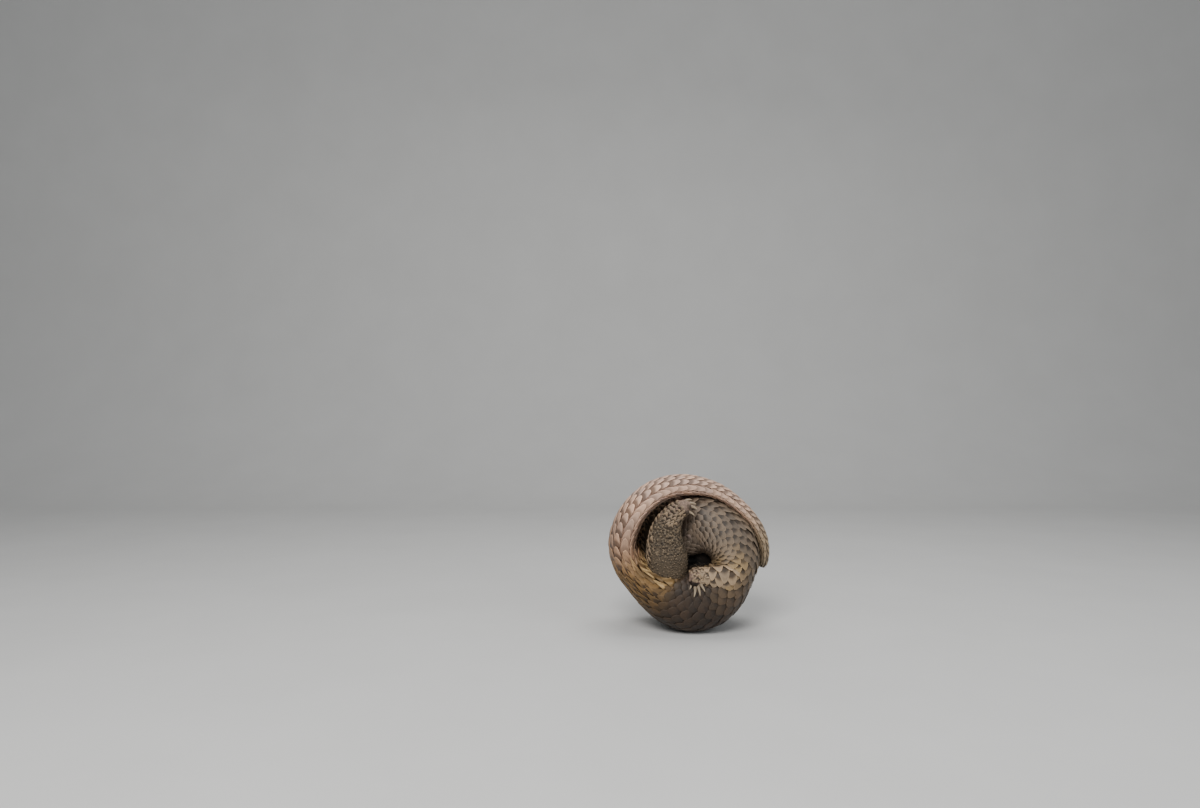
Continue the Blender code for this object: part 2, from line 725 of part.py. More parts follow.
def head_details(tube, head):
    """Eyes in their lids, ear cups, nostrils, lips and the line of the mouth."""
    made = {}
    ridges = []
    cutters = []
    for side, sense in (("left", 1), ("right", -1)):
        turn = sense * EYE_TURN
        here, along, around, out = surface_axes(tube, EYE_AT, turn)
        centre = here - out * EYE_RADIUS * 0.45
        axes = (along, around, out)
        made[f"eye_{side}"] = ball(f"eye_{side}", centre, (EYE_RADIUS,) * 3, axes, rings=6, sides=10)
        cutters.append(ball("socket", centre, (EYE_RADIUS + SEAM,) * 3, axes, rings=6, sides=10))
        for start, end, size, thick in LIDS:
            oval = (EYE_RADIUS * 1.25 * size, EYE_RADIUS * 1.05 * size)
            arc = arc_on(tube, EYE_AT, turn, oval, 0.0002, start, end, 6)
            ridges.append(rope("lid", arc, thick * np.array([0.7, 1, 1, 1, 1, 0.7]), sides=5, ups=out))
        turn = sense * EAR_TURN
        here, along, around, out = surface_axes(tube, EAR_AT, turn)
        axes = (along, around, out)
        ear = ball(f"ear_{side}", here + out * 0.0012, EAR_SIZE, axes, rings=6, sides=10)
        cup = ball("cup", here + out * 0.0048 + along * 0.0008, np.array(EAR_SIZE) * 0.72, axes, rings=5, sides=8)
        boolean(ear, cup, "DIFFERENCE")
        remove([cup])
        made[f"ear_{side}"] = ear
        cutters.append(ball("ear_seat", here + out * 0.0012, np.array(EAR_SIZE) + SEAM, axes, rings=6, sides=10))
        here, along, around, out = surface_axes(tube, NOSTRIL_AT, sense * NOSTRIL_TURN)
        cutters.append(ball("nostril", here, (0.0011, 0.0007, 0.0016), (along, around, out), rings=4, sides=6))
        thick = LIP_RADIUS * np.array([0.75, 1.0, 1.0, 0.9, 0.6])
        s = np.linspace(*MOUTH_SPAN, len(thick))
        line, _, _, outs = tube.frame(s, np.full(len(thick), sense * MOUTH_TURN))
        ridges.append(rope("lips", line, thick, sides=5, ups=out))
        s = np.linspace(*MOUTH_GROOVE, 4)
        line, _, _, outs = tube.frame(s, np.full(4, sense * MOUTH_TURN))
        cutters.append(rope("mouth", line + outs * LIP_RADIUS * 0.9, LIP_RADIUS * 0.42, sides=4, ups=out))
    fuse(head, ridges)
    for cutter in cutters:
        boolean(head, cutter, "DIFFERENCE")
    keep_largest(head)
    remove(cutters)
    return made


def stretch_of(name):
    """Which run of scales a node of the spine belongs to."""
    return name if name in SPINE_ROWS else "tail" if name.startswith("tail") else "trunk"


def spine_rows(tube, parts, name):
    """The rows of scales of one node of the spine."""
    start, end = parts[name]
    if name == "head":
        start = HEAD_SCALES_FROM
    end = min(end, tube.length - BARE_TIP)
    pitch, gap, reach, widest, _ = SPINE_ROWS[stretch_of(name)]

    def spacing(s):
        """Scales narrow with the body, towards the snout and the tip of the tail."""
        return gap * (0.45 + 0.55 * min(1.0, float(tube.section(s)[5]) / widest))

    return scale_rows(tube, start, end, pitch, spacing, reach)


def limb_rows(leg, mirror):
    """The rows of scales of one leg, in brick order."""
    (start, end), turns, count, length, width, aim = LIMB_ROWS[leg]
    sense = -1 if mirror else 1
    gap = (end - start) / count
    for row, turn in enumerate(turns):
        for column in range(count):
            s = start + (column + 0.25 + 0.5 * (row % 2)) * gap
            yield s, sense * math.radians(turn), length, width, sense * math.radians(aim)


def claws_of(foot, rows, outward, lean):
    """Fuses the claws: each has a root on the foot, a reach to its tip, a sag and a thickness."""
    pieces = []
    for root, tip, sag, radius in rows:
        shift = np.array([leaning(root[2], lean), 0.0, 0.0])
        root = np.array(root) * np.array([1, outward, 1]) + shift
        tip = np.array(tip) * np.array([1, outward, 1]) + shift
        way = tip - root
        bow = np.cross(unit(way), np.array([0.0, 1.0, 0.0])) * sag
        share = np.linspace(0, 1, 4)[:, None]
        line = root + way * share + bow * 4 * share * (1 - share)
        sizes = radius * np.array([1.0, 0.85, 0.52, 0.16])
        pieces.append(rope("claw", line, sizes, sides=5, ups=(0.0, 1.0, 0.0)))
    fuse(foot, pieces)


def scale_spine(tube, parts, nodes, trees):
    """Lays the scales of the whole spine, node by node."""
    order = list(parts)
    for near, name in enumerate(order):
        start, end = parts[name]
        seams = (Seam(tube, start) if start > 0 else None, Seam(tube, end) if end < tube.length else None)
        joined = {name} | set(order[max(0, near - 1):near + 2])
        others = [tree for other, tree in trees.items() if other not in joined]
        lift = SPINE_ROWS[stretch_of(name)][-1]
        lay_scales(nodes[name], tube, spine_rows(tube, parts, name), seams, others, lift)
        trees[name] = tree_of(nodes[name])


def scale_leg(name, leg, tube, split, mirror, nodes, trees):
    """Lays the scales of one leg, which end at its foot."""
    others = [tree for other, tree in trees.items() if other != name]
    seams = (None, Seam(tube, split))
    lay_scales(nodes[name], tube, limb_rows(leg, mirror), seams, others, LIMB_LIFT)
    trees[name] = tree_of(nodes[name])


def max_and_min(objects, axis):
    values = [vert.co[axis] for obj in objects for vert in obj.data.vertices]
    return max(values), min(values)


def main():
    clear_scene()
    stations, names = spine_stations()
    spine = Tube(stations, BACK_POWER, BELLY_POWER)
    parts = spine_parts(spine, names)
    nodes = spine_cores(spine, parts)
    limbs = []
    rooms = []
    for side, mirror in (("left", False), ("right", True)):
        for leg, foot, rows, parting, claws in LIMBS:
            lean = RIGHT_HIND_LEAN if mirror and leg == "hind_leg" else UPRIGHT
            tube = Tube(limb_stations(rows, mirror, lean), LIMB_POWER, LIMB_POWER)
            made, room = limb_cores(tube, f"{leg}_{side}", f"{foot}_{side}", tube.keys[parting])
            nodes.update(made)
            rooms += room
            limbs.append((leg, foot, side, mirror, tube, parting, claws, lean))
    for name in ("head", "neck", "torso_front", "torso_middle", "rump", "tail_1"):
        cut_with(nodes[name], rooms)
        keep_largest(nodes[name])
    remove(rooms)
    nodes.update(head_details(spine, nodes["head"]))
    for leg, foot, side, mirror, tube, parting, claws, lean in limbs:
        claws_of(nodes[f"{foot}_{side}"], claws, -1.0 if mirror else 1.0, lean)
    trees = {name: tree_of(obj) for name, obj in nodes.items()}
    for leg, foot, side, mirror, tube, parting, claws, lean in limbs:
        scale_leg(f"{leg}_{side}", leg, tube, tube.keys[parting], mirror, nodes, trees)
    scale_spine(spine, parts, nodes, trees)
    floor = block("floor_cut", (-1, -1, FLOOR_Z - 1), (1, 1, FLOOR_Z))
    for name in ("torso_front", "torso_middle", "rump"):
        boolean(nodes[name], floor, "DIFFERENCE")
    remove([floor])
    middle = sum(max_and_min(nodes.values(), 0)) / 2
    for obj in nodes.values():
        obj.data.transform(Matrix.Translation((-middle, 0, 0)))
    for name, obj in nodes.items():
        kind = name.removesuffix("_left").removesuffix("_right")
        obj.data.materials.clear()
        obj.data.materials.append(material(name, *COLOURS[kind]))


main()
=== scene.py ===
# %% [markdown]
# # A rolled-up Sunda pangolin
#
# A pangolin that is frightened rolls itself into a ball: the nose goes in under the belly, the
# legs fold in, and the long tail lies over the head like a strap. This lesson dresses the solid
# model of such a ball. Everything on the animal grows along one line, its spine, and along four
# shorter ones, its legs, so every surface here is worked out from those lines.

# %% Load the frame
import math

import bmesh
import bpy
import numpy as np
from mathutils import Matrix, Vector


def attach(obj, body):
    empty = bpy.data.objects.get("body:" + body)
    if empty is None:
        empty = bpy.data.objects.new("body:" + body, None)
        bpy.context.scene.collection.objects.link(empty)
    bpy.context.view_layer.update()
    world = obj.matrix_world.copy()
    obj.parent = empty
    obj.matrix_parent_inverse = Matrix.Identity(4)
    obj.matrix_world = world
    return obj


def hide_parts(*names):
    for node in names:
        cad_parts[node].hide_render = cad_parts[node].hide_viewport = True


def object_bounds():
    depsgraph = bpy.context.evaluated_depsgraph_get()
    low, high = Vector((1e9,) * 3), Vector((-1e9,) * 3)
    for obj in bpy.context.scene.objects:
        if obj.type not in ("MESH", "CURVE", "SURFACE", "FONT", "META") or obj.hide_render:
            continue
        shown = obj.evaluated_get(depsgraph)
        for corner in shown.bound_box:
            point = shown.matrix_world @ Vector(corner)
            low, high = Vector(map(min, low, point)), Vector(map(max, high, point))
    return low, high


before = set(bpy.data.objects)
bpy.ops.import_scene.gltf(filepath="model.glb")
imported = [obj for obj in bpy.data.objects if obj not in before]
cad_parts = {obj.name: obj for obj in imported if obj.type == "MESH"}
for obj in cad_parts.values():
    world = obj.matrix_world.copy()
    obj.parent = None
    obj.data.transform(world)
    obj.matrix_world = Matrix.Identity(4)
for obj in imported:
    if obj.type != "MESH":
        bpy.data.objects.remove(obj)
cad_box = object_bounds()
dice = np.random.default_rng(7)
print("CAD box", cad_box)

# %% [markdown]
# ## Lines through stations
#
# A station is one cross-section: its centre, the way to the back, the way to the left side, and
# how far the body reaches to the back, to the belly and to the side. Between stations a cubic
# curve gives a smooth body. Every point of the skin then has two numbers: how far along the line
# it is, and how far it is turned round from the back.


# %% A smooth curve through values
def curve(keys, values, at, limited):
    """The cubic through the values at the keys: start and end value, each with its slope.
    A limited curve uses harmonic slopes, so it never swings past its values."""
    step = np.diff(keys)[:, None]
    rise = np.diff(values, axis=0) / step
    slope = np.zeros_like(values)
    slope[0] = rise[0]
    slope[-1] = rise[-1]
    before, after = rise[:-1], rise[1:]
    if limited:
        same = before * after > 0
        slope[1:-1] = np.where(same, 2 * before * after / np.where(same, before + after, 1), 0)
    else:
        slope[1:-1] = (before * step[1:] + after * step[:-1]) / (step[1:] + step[:-1])
    at = np.clip(at, keys[0], keys[-1])
    i = np.clip(np.searchsorted(keys, at, side="right") - 1, 0, len(keys) - 2)
    gap = keys[i + 1] - keys[i]
    x = ((at - keys[i]) / gap)[..., None]
    gap = gap[..., None]
    first = values[i] * (1 + 2 * x) * (1 - x) ** 2 + slope[i] * gap * x * (1 - x) ** 2
    second = values[i + 1] * x * x * (3 - 2 * x) + slope[i + 1] * gap * x * x * (x - 1)
    return first + second


def unit(vectors):
    """Each vector divided by its length."""
    return vectors / np.linalg.norm(vectors, axis=-1, keepdims=True)


def smooth(x, low, high):
    """0 below low, 1 above high, and 3t^2 - 2t^3 between."""
    t = np.clip((x - low) / (high - low), 0, 1)
    return t * t * (3 - 2 * t)


def bump_of(x, width):
    """A smooth hill, 1 in its middle and 0.37 at the width."""
    return np.exp(-(x / width) ** 2)


# %% The body of one line
class Body:
    """A body through stations, as a function of s along it and turn round it."""

    def __init__(self, stations, back_power, belly_power):
        self.rows = np.array([np.concatenate([np.ravel(part) for part in row]) for row in stations])
        steps = np.linalg.norm(np.diff(self.rows[:, :3], axis=0), axis=1)
        self.keys = np.concatenate([[0.0], np.cumsum(steps)])
        self.length = self.keys[-1]
        self.back_power = back_power
        self.belly_power = belly_power

    def section(self, s):
        """Centre, back and side ways, and the three reaches at s."""
        s = np.asarray(s, float)
        place = curve(self.keys, self.rows[:, :9], s, limited=False)
        reach = curve(self.keys, self.rows[:, 9:], s, limited=True)
        return place[..., 0:3], unit(place[..., 3:6]), unit(place[..., 6:9]), reach

    def point(self, s, turn):
        """centre + back |cos|^p reach + side |sin|^p reach: an oval, made squarer by p below 1."""
        centre, back, side, reach = self.section(s)
        c, d = np.cos(turn), np.sin(turn)
        upward = np.where(c > 0, np.abs(c) ** self.back_power * reach[..., 0], 0.0)
        downward = np.where(c > 0, 0.0, np.abs(c) ** self.belly_power * reach[..., 1])
        out = reach[..., 2] * np.sign(d) * np.abs(d) ** self.back_power
        return centre + back * (upward - downward)[..., None] + side * out[..., None]

    def frame(self, s, turn):
        """The surface point, its rates along and round the body, and the way outwards."""
        step = 2e-4
        along = (self.point(s + step, turn) - self.point(s - step, turn)) / (2 * step)
        around = (self.point(s, turn + step) - self.point(s, turn - step)) / (2 * step)
        here = self.point(s, turn)
        out = unit(np.cross(around, along))
        inward = np.sum(out * (here - self.section(s)[0]), axis=-1, keepdims=True) < 0
        return here, along, around, np.where(inward, -out, out)


# %% [markdown]
# ## The animal's own sizes
#
# The spine lies in one plane and winds clockwise, seen from the animal's left side: from the
# snout in the middle over the nape, down the back, under, and over the top again as the tail.
# The stations are those of the solid model, so the skin comes to lie on it.

# %% Stations of the spine
COIL_Z = 0.1075
COIL_X = 0.004475
COIL_STATIONS = (
    (110, 0.0900, 0.0265, 0.0620), (124, 0.0925, 0.0235, 0.0650), (140, 0.0980, 0.0185, 0.0670),
    (165, 0.1055, 0.0155, 0.0680), (185, 0.1085, 0.0160, 0.0680), (205, 0.1060, 0.0200, 0.0670),
    (225, 0.1035, 0.0300, 0.0640), (243, 0.1060, 0.0460, 0.0590), (258, 0.1135, 0.0670, 0.0530),
    (275, 0.1190, 0.0820, 0.0480), (300, 0.1195, 0.0855, 0.0440), (330, 0.1165, 0.0870, 0.0400),
    (356, 0.1105, 0.0850, 0.0370), (380, 0.1055, 0.0850, 0.0330), (405, 0.1035, 0.0860, 0.0290),
    (430, 0.1080, 0.0920, 0.0240), (448, 0.1100, 0.0975, 0.0175), (458, 0.1090, 0.0990, 0.0110),
    (462, 0.1070, 0.1000, 0.0060),
)
PIVOT_RADIUS = 0.020
NECK_SAG = 0.16
NECK_STATIONS = (
    (92, 0.0720, 0.0065, 0.0610), (72, 0.0720, 0.0065, 0.0600), (50, 0.0743, 0.0065, 0.0580),
    (28, 0.0771, 0.0070, 0.0560), (6, 0.0838, 0.0080, 0.0520), (-15, 0.0880, 0.0090, 0.0450),
    (-34, 0.0695, 0.0100, 0.0360),
)
HEAD_STATIONS = (
    (0.0120, 0.0245, 0.0225, 0.0295), (0.0220, 0.0200, 0.0195, 0.0250), (0.0310, 0.0150, 0.0165, 0.0200),
    (0.0400, 0.0105, 0.0125, 0.0145), (0.0480, 0.0080, 0.0090, 0.0105), (0.0545, 0.0062, 0.0066, 0.0082),
    (0.0575, 0.0042, 0.0042, 0.0060),
)
LEFT = np.array([0.0, -1.0, 0.0])


def clock(angle):
    """The direction of a clock hand, seen from the left side of the animal."""
    angle = math.radians(angle)
    return np.array([math.sin(angle), 0.0, math.cos(angle)])


def spine_stations():
    """Stations from the snout to the tail tip, and the clock angle or distance each came from."""
    centre = np.array([COIL_X, 0.0, COIL_Z])
    pivot = centre + clock(COIL_STATIONS[0][0]) * PIVOT_RADIUS
    rows = []
    marks = []
    count = len(NECK_STATIONS)
    for index, (angle, nape, throat, wide) in enumerate(NECK_STATIONS):
        low = (nape - throat) * (0.5 - NECK_SAG * math.sin(math.pi * (index + 1) / (count + 1)))
        base = pivot + clock(angle) * (throat + low)
        rows.insert(0, (base, clock(angle), LEFT, nape - throat - low, low, wide))
        marks.insert(0, ("neck", angle))
    for distance, up, down, wide in HEAD_STATIONS:
        rows.insert(0, (base + clock(angle - 90) * distance, clock(angle), LEFT, up, down, wide))
        marks.insert(0, ("head", distance))
    for angle, far, near, wide in COIL_STATIONS:
        half = (far - near) / 2
        rows.append((centre + clock(angle) * (far + near) / 2, clock(angle), LEFT, half, half, wide))
        marks.append(("coil", angle))
    return rows, marks


spine_rows, spine_marks = spine_stations()
BACK_POWER, BELLY_POWER, LIMB_POWER = 0.82, 0.60, 0.92
spine = Body(spine_rows, BACK_POWER, BELLY_POWER)


def spine_at(kind, value):
    """Where on the spine a clock angle of the neck or the coil is."""
    chosen = [(mark[1], key) for mark, key in zip(spine_marks, spine.keys) if mark[0] == kind]
    values, keys = zip(*sorted(chosen))
    return float(np.interp(value, values, keys))


print("the spine is", round(spine.length, 3), "m long")

# %% Stations of the legs
HIND_LIMB = (
    ((-0.036, -0.030, 0.060), 0.0200, 0.0150), ((-0.038, -0.040, 0.080), 0.0260, 0.0180),
    ((-0.0395, -0.048, 0.105), 0.0275, 0.0180), ((-0.0425, -0.051, 0.130), 0.0240, 0.0150),
    ((-0.0405, -0.052, 0.150), 0.0195, 0.0130), ((-0.0320, -0.052, 0.166), 0.0150, 0.0115),
    ((-0.0235, -0.052, 0.1750), 0.0120, 0.0110), ((-0.0140, -0.052, 0.1795), 0.0095, 0.0105),
    ((-0.0080, -0.052, 0.1800), 0.0060, 0.0080),
)
FORE_LIMB = (
    ((0.062, -0.034, 0.083), 0.0130, 0.0120), ((0.055, -0.048, 0.0834), 0.0175, 0.0150),
    ((0.038, -0.057, 0.082), 0.0175, 0.0130), ((0.018, -0.060, 0.083), 0.0140, 0.0110),
    ((0.006, -0.061, 0.084), 0.0115, 0.0100), ((-0.001, -0.062, 0.0845), 0.0115, 0.0100),
    ((-0.0065, -0.063, 0.0830), 0.0090, 0.0085), ((-0.0090, -0.063, 0.0820), 0.0050, 0.0055),
)
# Root, tip, bow and root radius of each claw
HIND_CLAWS = (
    ((-0.0120, -0.0590, 0.1800), (0.0010, -0.0610, 0.1765), 0.0018, 0.0026),
    ((-0.0140, -0.0540, 0.1820), (0.0000, -0.0560, 0.1830), 0.0022, 0.0027),
    ((-0.0170, -0.0500, 0.1840), (-0.0050, -0.0510, 0.1885), 0.0022, 0.0027),
    ((-0.0150, -0.0600, 0.1740), (-0.0030, -0.0630, 0.1680), 0.0015, 0.0023),
)
FORE_CLAWS = (
    ((-0.0050, -0.0660, 0.0800), (-0.0050, -0.0715, 0.0575), 0.0022, 0.0030),
    ((-0.0030, -0.0670, 0.0800), (0.0035, -0.0725, 0.0590), 0.0016, 0.0028),
    ((-0.0012, -0.0670, 0.0815), (0.0105, -0.0725, 0.0650), 0.0010, 0.0026),
    ((-0.0070, -0.0640, 0.0820), (-0.0110, -0.0705, 0.0680), 0.0015, 0.0023),
)
SIDES = (("left", 1.0), ("right", -1.0))


def leaning(height, lean):
    """The shift along X of a leg at a height."""
    heights, moves = zip(*lean)
    return np.interp(height, heights, moves)


def limb_stations(rows, mirror, lean):
    """Stations of a leg: its back looks away from the animal, its side lies in the picture plane."""
    centres = np.array([row[0] for row in rows])
    centres[:, 0] += COIL_X + leaning(centres[:, 2], lean)
    ways = unit(np.gradient(centres, axis=0))
    flat = unit(np.cross(ways, LEFT))
    out = np.cross(flat, ways)
    out *= np.sign(out @ LEFT)[:, None]
    flip = np.array([1.0, mirror, 1.0])
    return [(c, o, f, row[2], row[2], row[1]) for c, o, f, row in zip(centres * flip, out * flip, flat * flip, rows)]


def claw_ends(root, tip, mirror, lean):
    """Root and tip of a claw on the left or the right side."""
    move = np.array([COIL_X + leaning(root[2], lean), 0.0, 0.0])
    flip = np.array([1.0, mirror, 1.0])
    return root * flip + move, tip * flip + move


# Heights and shifts: the right hind leg leans, with its hip nearer to the root of the tail
UPRIGHT = ((0.0, 0.0), (1.0, 0.0))
RIGHT_HIND_LEAN = ((0.125, -0.016), (0.170, 0.004))
limbs = {}
leans = {}
for side_name, mirror in SIDES:
    for kind, rows in (("hind", HIND_LIMB), ("fore", FORE_LIMB)):
        leans[kind, side_name] = RIGHT_HIND_LEAN if (kind, side_name) == ("hind", "right") else UPRIGHT
        stations = limb_stations(rows, mirror, leans[kind, side_name])
        limbs[kind, side_name] = Body(stations, LIMB_POWER, LIMB_POWER)
print({key: round(body.length, 3) for key, body in limbs.items()})

# %% [markdown]
# ## Where it rests
#
# The ball lies on its back plates, and they press flat on the floor. One smooth curve on the
# height alone does that: heights near the floor are squeezed, all others stay as they are.

# %% Press flat on the floor
FLOOR_SQUEEZE = 0.004
LOWEST = -0.0052


def rest(points):
    """Height h below 4 mm becomes 4 mm * ((h - lowest) / (4 mm - lowest))^k, with k for an even slope."""
    points = np.array(points, float)
    power = (FLOOR_SQUEEZE - LOWEST) / FLOOR_SQUEEZE
    share = np.clip((points[..., 2] - LOWEST) / (FLOOR_SQUEEZE - LOWEST), 0, None)
    low = points[..., 2] < FLOOR_SQUEEZE
    points[..., 2] = np.where(low, FLOOR_SQUEEZE * share ** power, points[..., 2])
    return points


# %% Put arrays into a mesh
def make_mesh(name, points, faces, maps=None, values=None, smooth_faces=True):
    """One object from points and faces, with UV maps (per corner) and attributes (per point)."""
    mesh = bpy.data.meshes.new(name)
    mesh.from_pydata(points.reshape(-1, 3).tolist(), [], faces if isinstance(faces, list) else faces.tolist())
    for label, uv in (maps or {}).items():
        mesh.uv_layers.new(name=label).data.foreach_set("uv", np.asarray(uv, np.float32).ravel())
    for label, data in (values or {}).items():
        data = np.asarray(data, np.float32)
        if data.ndim == 2:
            full = np.concatenate([data, np.ones((len(data), 1), np.float32)], axis=1)
            mesh.attributes.new(label, "FLOAT_COLOR", "POINT").data.foreach_set("color", full.ravel())
        else:
            mesh.attributes.new(label, "FLOAT", "POINT").data.foreach_set("value", data)
    mesh.polygons.foreach_set("use_smooth", np.full(len(mesh.polygons), smooth_faces))
    obj = bpy.data.objects.new(name, mesh)
    bpy.context.scene.collection.objects.link(obj)
    return obj


def tube_faces(rings, sides):
    """Quads between rings of equal count, and one face over each end, all facing outwards."""
    ring = np.arange(rings - 1)[:, None] * sides
    j = np.arange(sides)
    k = (j + 1) % sides
    walls = np.stack([ring + j, ring + sides + j, ring + sides + k, ring + k], axis=-1).reshape(-1, 4)
    first = list(range(sides))
    last = list(range((rings - 1) * sides, rings * sides))
    return walls.tolist() + [first, last[::-1]]


def face_outwards(obj):
    """Recalculates the normals of a closed mesh, so that all faces point outwards."""
    bm = bmesh.new()
    bm.from_mesh(obj.data)
    bmesh.ops.remove_doubles(bm, verts=bm.verts, dist=1e-6)
    bmesh.ops.recalc_face_normals(bm, faces=bm.faces)
    bm.to_mesh(obj.data)
    bm.free()


# %% [markdown]
# ## Shader maths as Python
#
# A material is a graph of nodes. Wrapping a socket in a small class lets 1 - mask * 0.5 build
# its Math nodes by itself, so that the formulas below read like formulas.


# %% Sockets that do sums
class Value:
    """A socket of a node. Sums with it add Math nodes."""

    def __init__(self, paint, socket):
        self.paint = paint
        self.socket = socket

    def sum(self, operation, *others):
        node = self.paint.node("ShaderNodeMath", {"operation": operation}, dict(enumerate(others)))
        return Value(self.paint, node.outputs[0])

    def __add__(self, other):
        return self.sum("ADD", self, other)

    def __sub__(self, other):
        return self.sum("SUBTRACT", self, other)

    def __mul__(self, other):
        return self.sum("MULTIPLY", self, other)

    def __truediv__(self, other):
        return self.sum("DIVIDE", self, other)

    def __pow__(self, other):
        return self.sum("POWER", self, other)

    def __rsub__(self, other):
        return self.sum("SUBTRACT", other, self)

    __radd__ = __add__
    __rmul__ = __mul__


class Paint:
    """A material and the nodes it is built from."""

    def __init__(self, name, **constants):
        self.material = bpy.data.materials.new(name)
        self.material.use_nodes = True
        self.tree = self.material.node_tree
        self.shader = self.tree.nodes["Principled BSDF"]
        for socket, value in constants.items():
            self.shader.inputs[socket.replace("_", " ")].default_value = value

    def node(self, kind, settings=None, inputs=None):
        """Adds a node: its settings first, then a value or a link for each socket."""
        node = self.tree.nodes.new(kind)
        for key, value in (settings or {}).items():
            if key == "stops":
                ramp = node.color_ramp.elements
                for extra in range(len(value) - 2):
                    ramp.new(0.5)
                for element, (place, colour) in zip(ramp, value):
                    element.position = place
                    element.color = (*colour, 1) if len(colour) == 3 else colour
            else:
                setattr(node, key, value)
        for key, value in (inputs or {}).items():
            if isinstance(value, Value):
                self.tree.links.new(value.socket, node.inputs[key])
            else:
                node.inputs[key].default_value = value
        return node

    def out(self, kind, settings=None, inputs=None, output=0):
        """A node's output as a Value."""
        return Value(self, self.node(kind, settings, inputs).outputs[output])

    def feed(self, socket, value):
        """Links a Value to a socket of the shader."""
        self.tree.links.new(value.socket, self.shader.inputs[socket])

    def place(self):
        """Object coordinates."""
        return self.out("ShaderNodeTexCoord", output="Object")

    def attribute(self, name, output="Fac"):
        return self.out("ShaderNodeAttribute", {"attribute_name": name}, output=output)

    def uv(self, name):
        return self.out("ShaderNodeUVMap", {"uv_map": name})

    def noise(self, vector, scale, detail=3.0, rough=0.55):
        inputs = {"Vector": vector, "Scale": scale, "Detail": detail, "Roughness": rough}
        return self.out("ShaderNodeTexNoise", {}, inputs)

    def cells(self, vector, scale, feature="F1", output="Distance"):
        return self.out("ShaderNodeTexVoronoi", {"feature": feature}, {"Vector": vector, "Scale": scale}, output)

    def range(self, value, low, high, start=0.0, end=1.0):
        """Smoothly start below low and end above high."""
        settings = {"interpolation_type": "SMOOTHSTEP"}
        inputs = {0: value, 1: low, 2: high, 3: start, 4: end}
        return self.out("ShaderNodeMapRange", settings, inputs)

    def mix(self, factor, first, second, blend="MIX"):
        """Mixes two colours."""
        settings = {"data_type": "RGBA", "blend_type": blend}
        first = (*first, 1) if isinstance(first, tuple) else first
        second = (*second, 1) if isinstance(second, tuple) else second
        return self.out("ShaderNodeMix", settings, {0: factor, 6: first, 7: second}, 2)

    def stretch(self, vector, scale):
        """Multiplies a vector by three numbers."""
        return self.out("ShaderNodeVectorMath", {"operation": "MULTIPLY"}, {0: vector, 1: scale})

    def shift(self, vector, other):
        return self.out("ShaderNodeVectorMath", {"operation": "ADD"}, {0: vector, 1: other})

    def bump(self, height, distance, strength=1.0):
        inputs = {"Height": height, "Distance": distance, "Strength": strength}
        self.feed("Normal", self.out("ShaderNodeBump", {}, inputs))


# %% [markdown]
# ## One scale
#
# A pangolin's scale is a shield of horn. Its root sits in a fold of the skin, it widens, and its
# free edge is rounded, with fine grooves that run towards the edge and worn, paler horn at the
# rim. It is made once as a small grid over (across, along), and every scale of the coat is that
# grid laid on the body by numpy, bent with the body under it.

# %% The pattern of a scale
def scale_pattern(across_steps, along_steps):
    """Points (across, along, level) of a scale, with level 0 above and 1 below, its faces, and
    their kinds: 0 on top, 1 in the wall round the rim, 2 in the strips of the underside."""
    columns, rows = len(across_steps), len(along_steps)
    across, along = np.meshgrid(across_steps, along_steps)
    top = np.stack([across, along, 0 * along], axis=-1).reshape(-1, 3)
    index = np.arange(columns * rows).reshape(rows, columns)
    rim = np.concatenate([index[0, :-1], index[:-1, -1], index[-1, :0:-1], index[:0:-1, 0]])
    low = dict(zip(rim.tolist(), range(len(top), len(top) + len(rim))))
    faces = []
    for r in range(rows - 1):
        for c in range(columns - 1):
            faces.append([index[r, c], index[r, c + 1], index[r + 1, c + 1], index[r + 1, c]])
    kinds = [0] * len(faces)
    ring = rim.tolist()
    for first, second in zip(ring, ring[1:] + ring[:1]):
        faces.append([second, first, low[first], low[second]])
        kinds.append(1)
    for r in range(rows - 1):
        start = [low[i] for i in index[0, :0:-1]] if r == 0 else [low[index[r, -1]]]
        end = [low[i] for i in index[-1]] if r == rows - 2 else [low[index[r + 1, 0]], low[index[r + 1, -1]]]
        faces.append([low[index[r, 0]]] + end + start)
        kinds.append(2)
    return np.vstack([top, top[rim] + (0, 0, 1)]), faces, kinds


PLATE = scale_pattern([-1.0, -0.78, -0.40, 0.0, 0.40, 0.78, 1.0], [0.0, 0.30, 0.55, 0.76, 0.92, 1.0])
GRAIN = scale_pattern([-1.0, -0.55, 0.0, 0.55, 1.0], [0.0, 0.40, 0.80, 1.0])
print("a plate has", len(PLATE[1]), "faces and a grain", len(GRAIN[1]))


# %% Lay many scales on a body
def scale_set(count, **columns):
    """One number for each scale under each name; a single number counts for all."""
    # root: how strongly painted shade darkens the covered root of a scale; wear: how pale its rim is worn
    base = {"length": 0.01, "width": 0.01, "lift": 0.001, "thick": 0.001, "curl": 0.0, "aim": 0.0,
            "point": 0.0, "crown": 0.06, "column": 0.0, "row": 0.0, "wear": 0.7, "root": 0.85}
    base.update(columns)
    return {key: np.broadcast_to(np.asarray(value, float), count).copy() for key, value in base.items()}


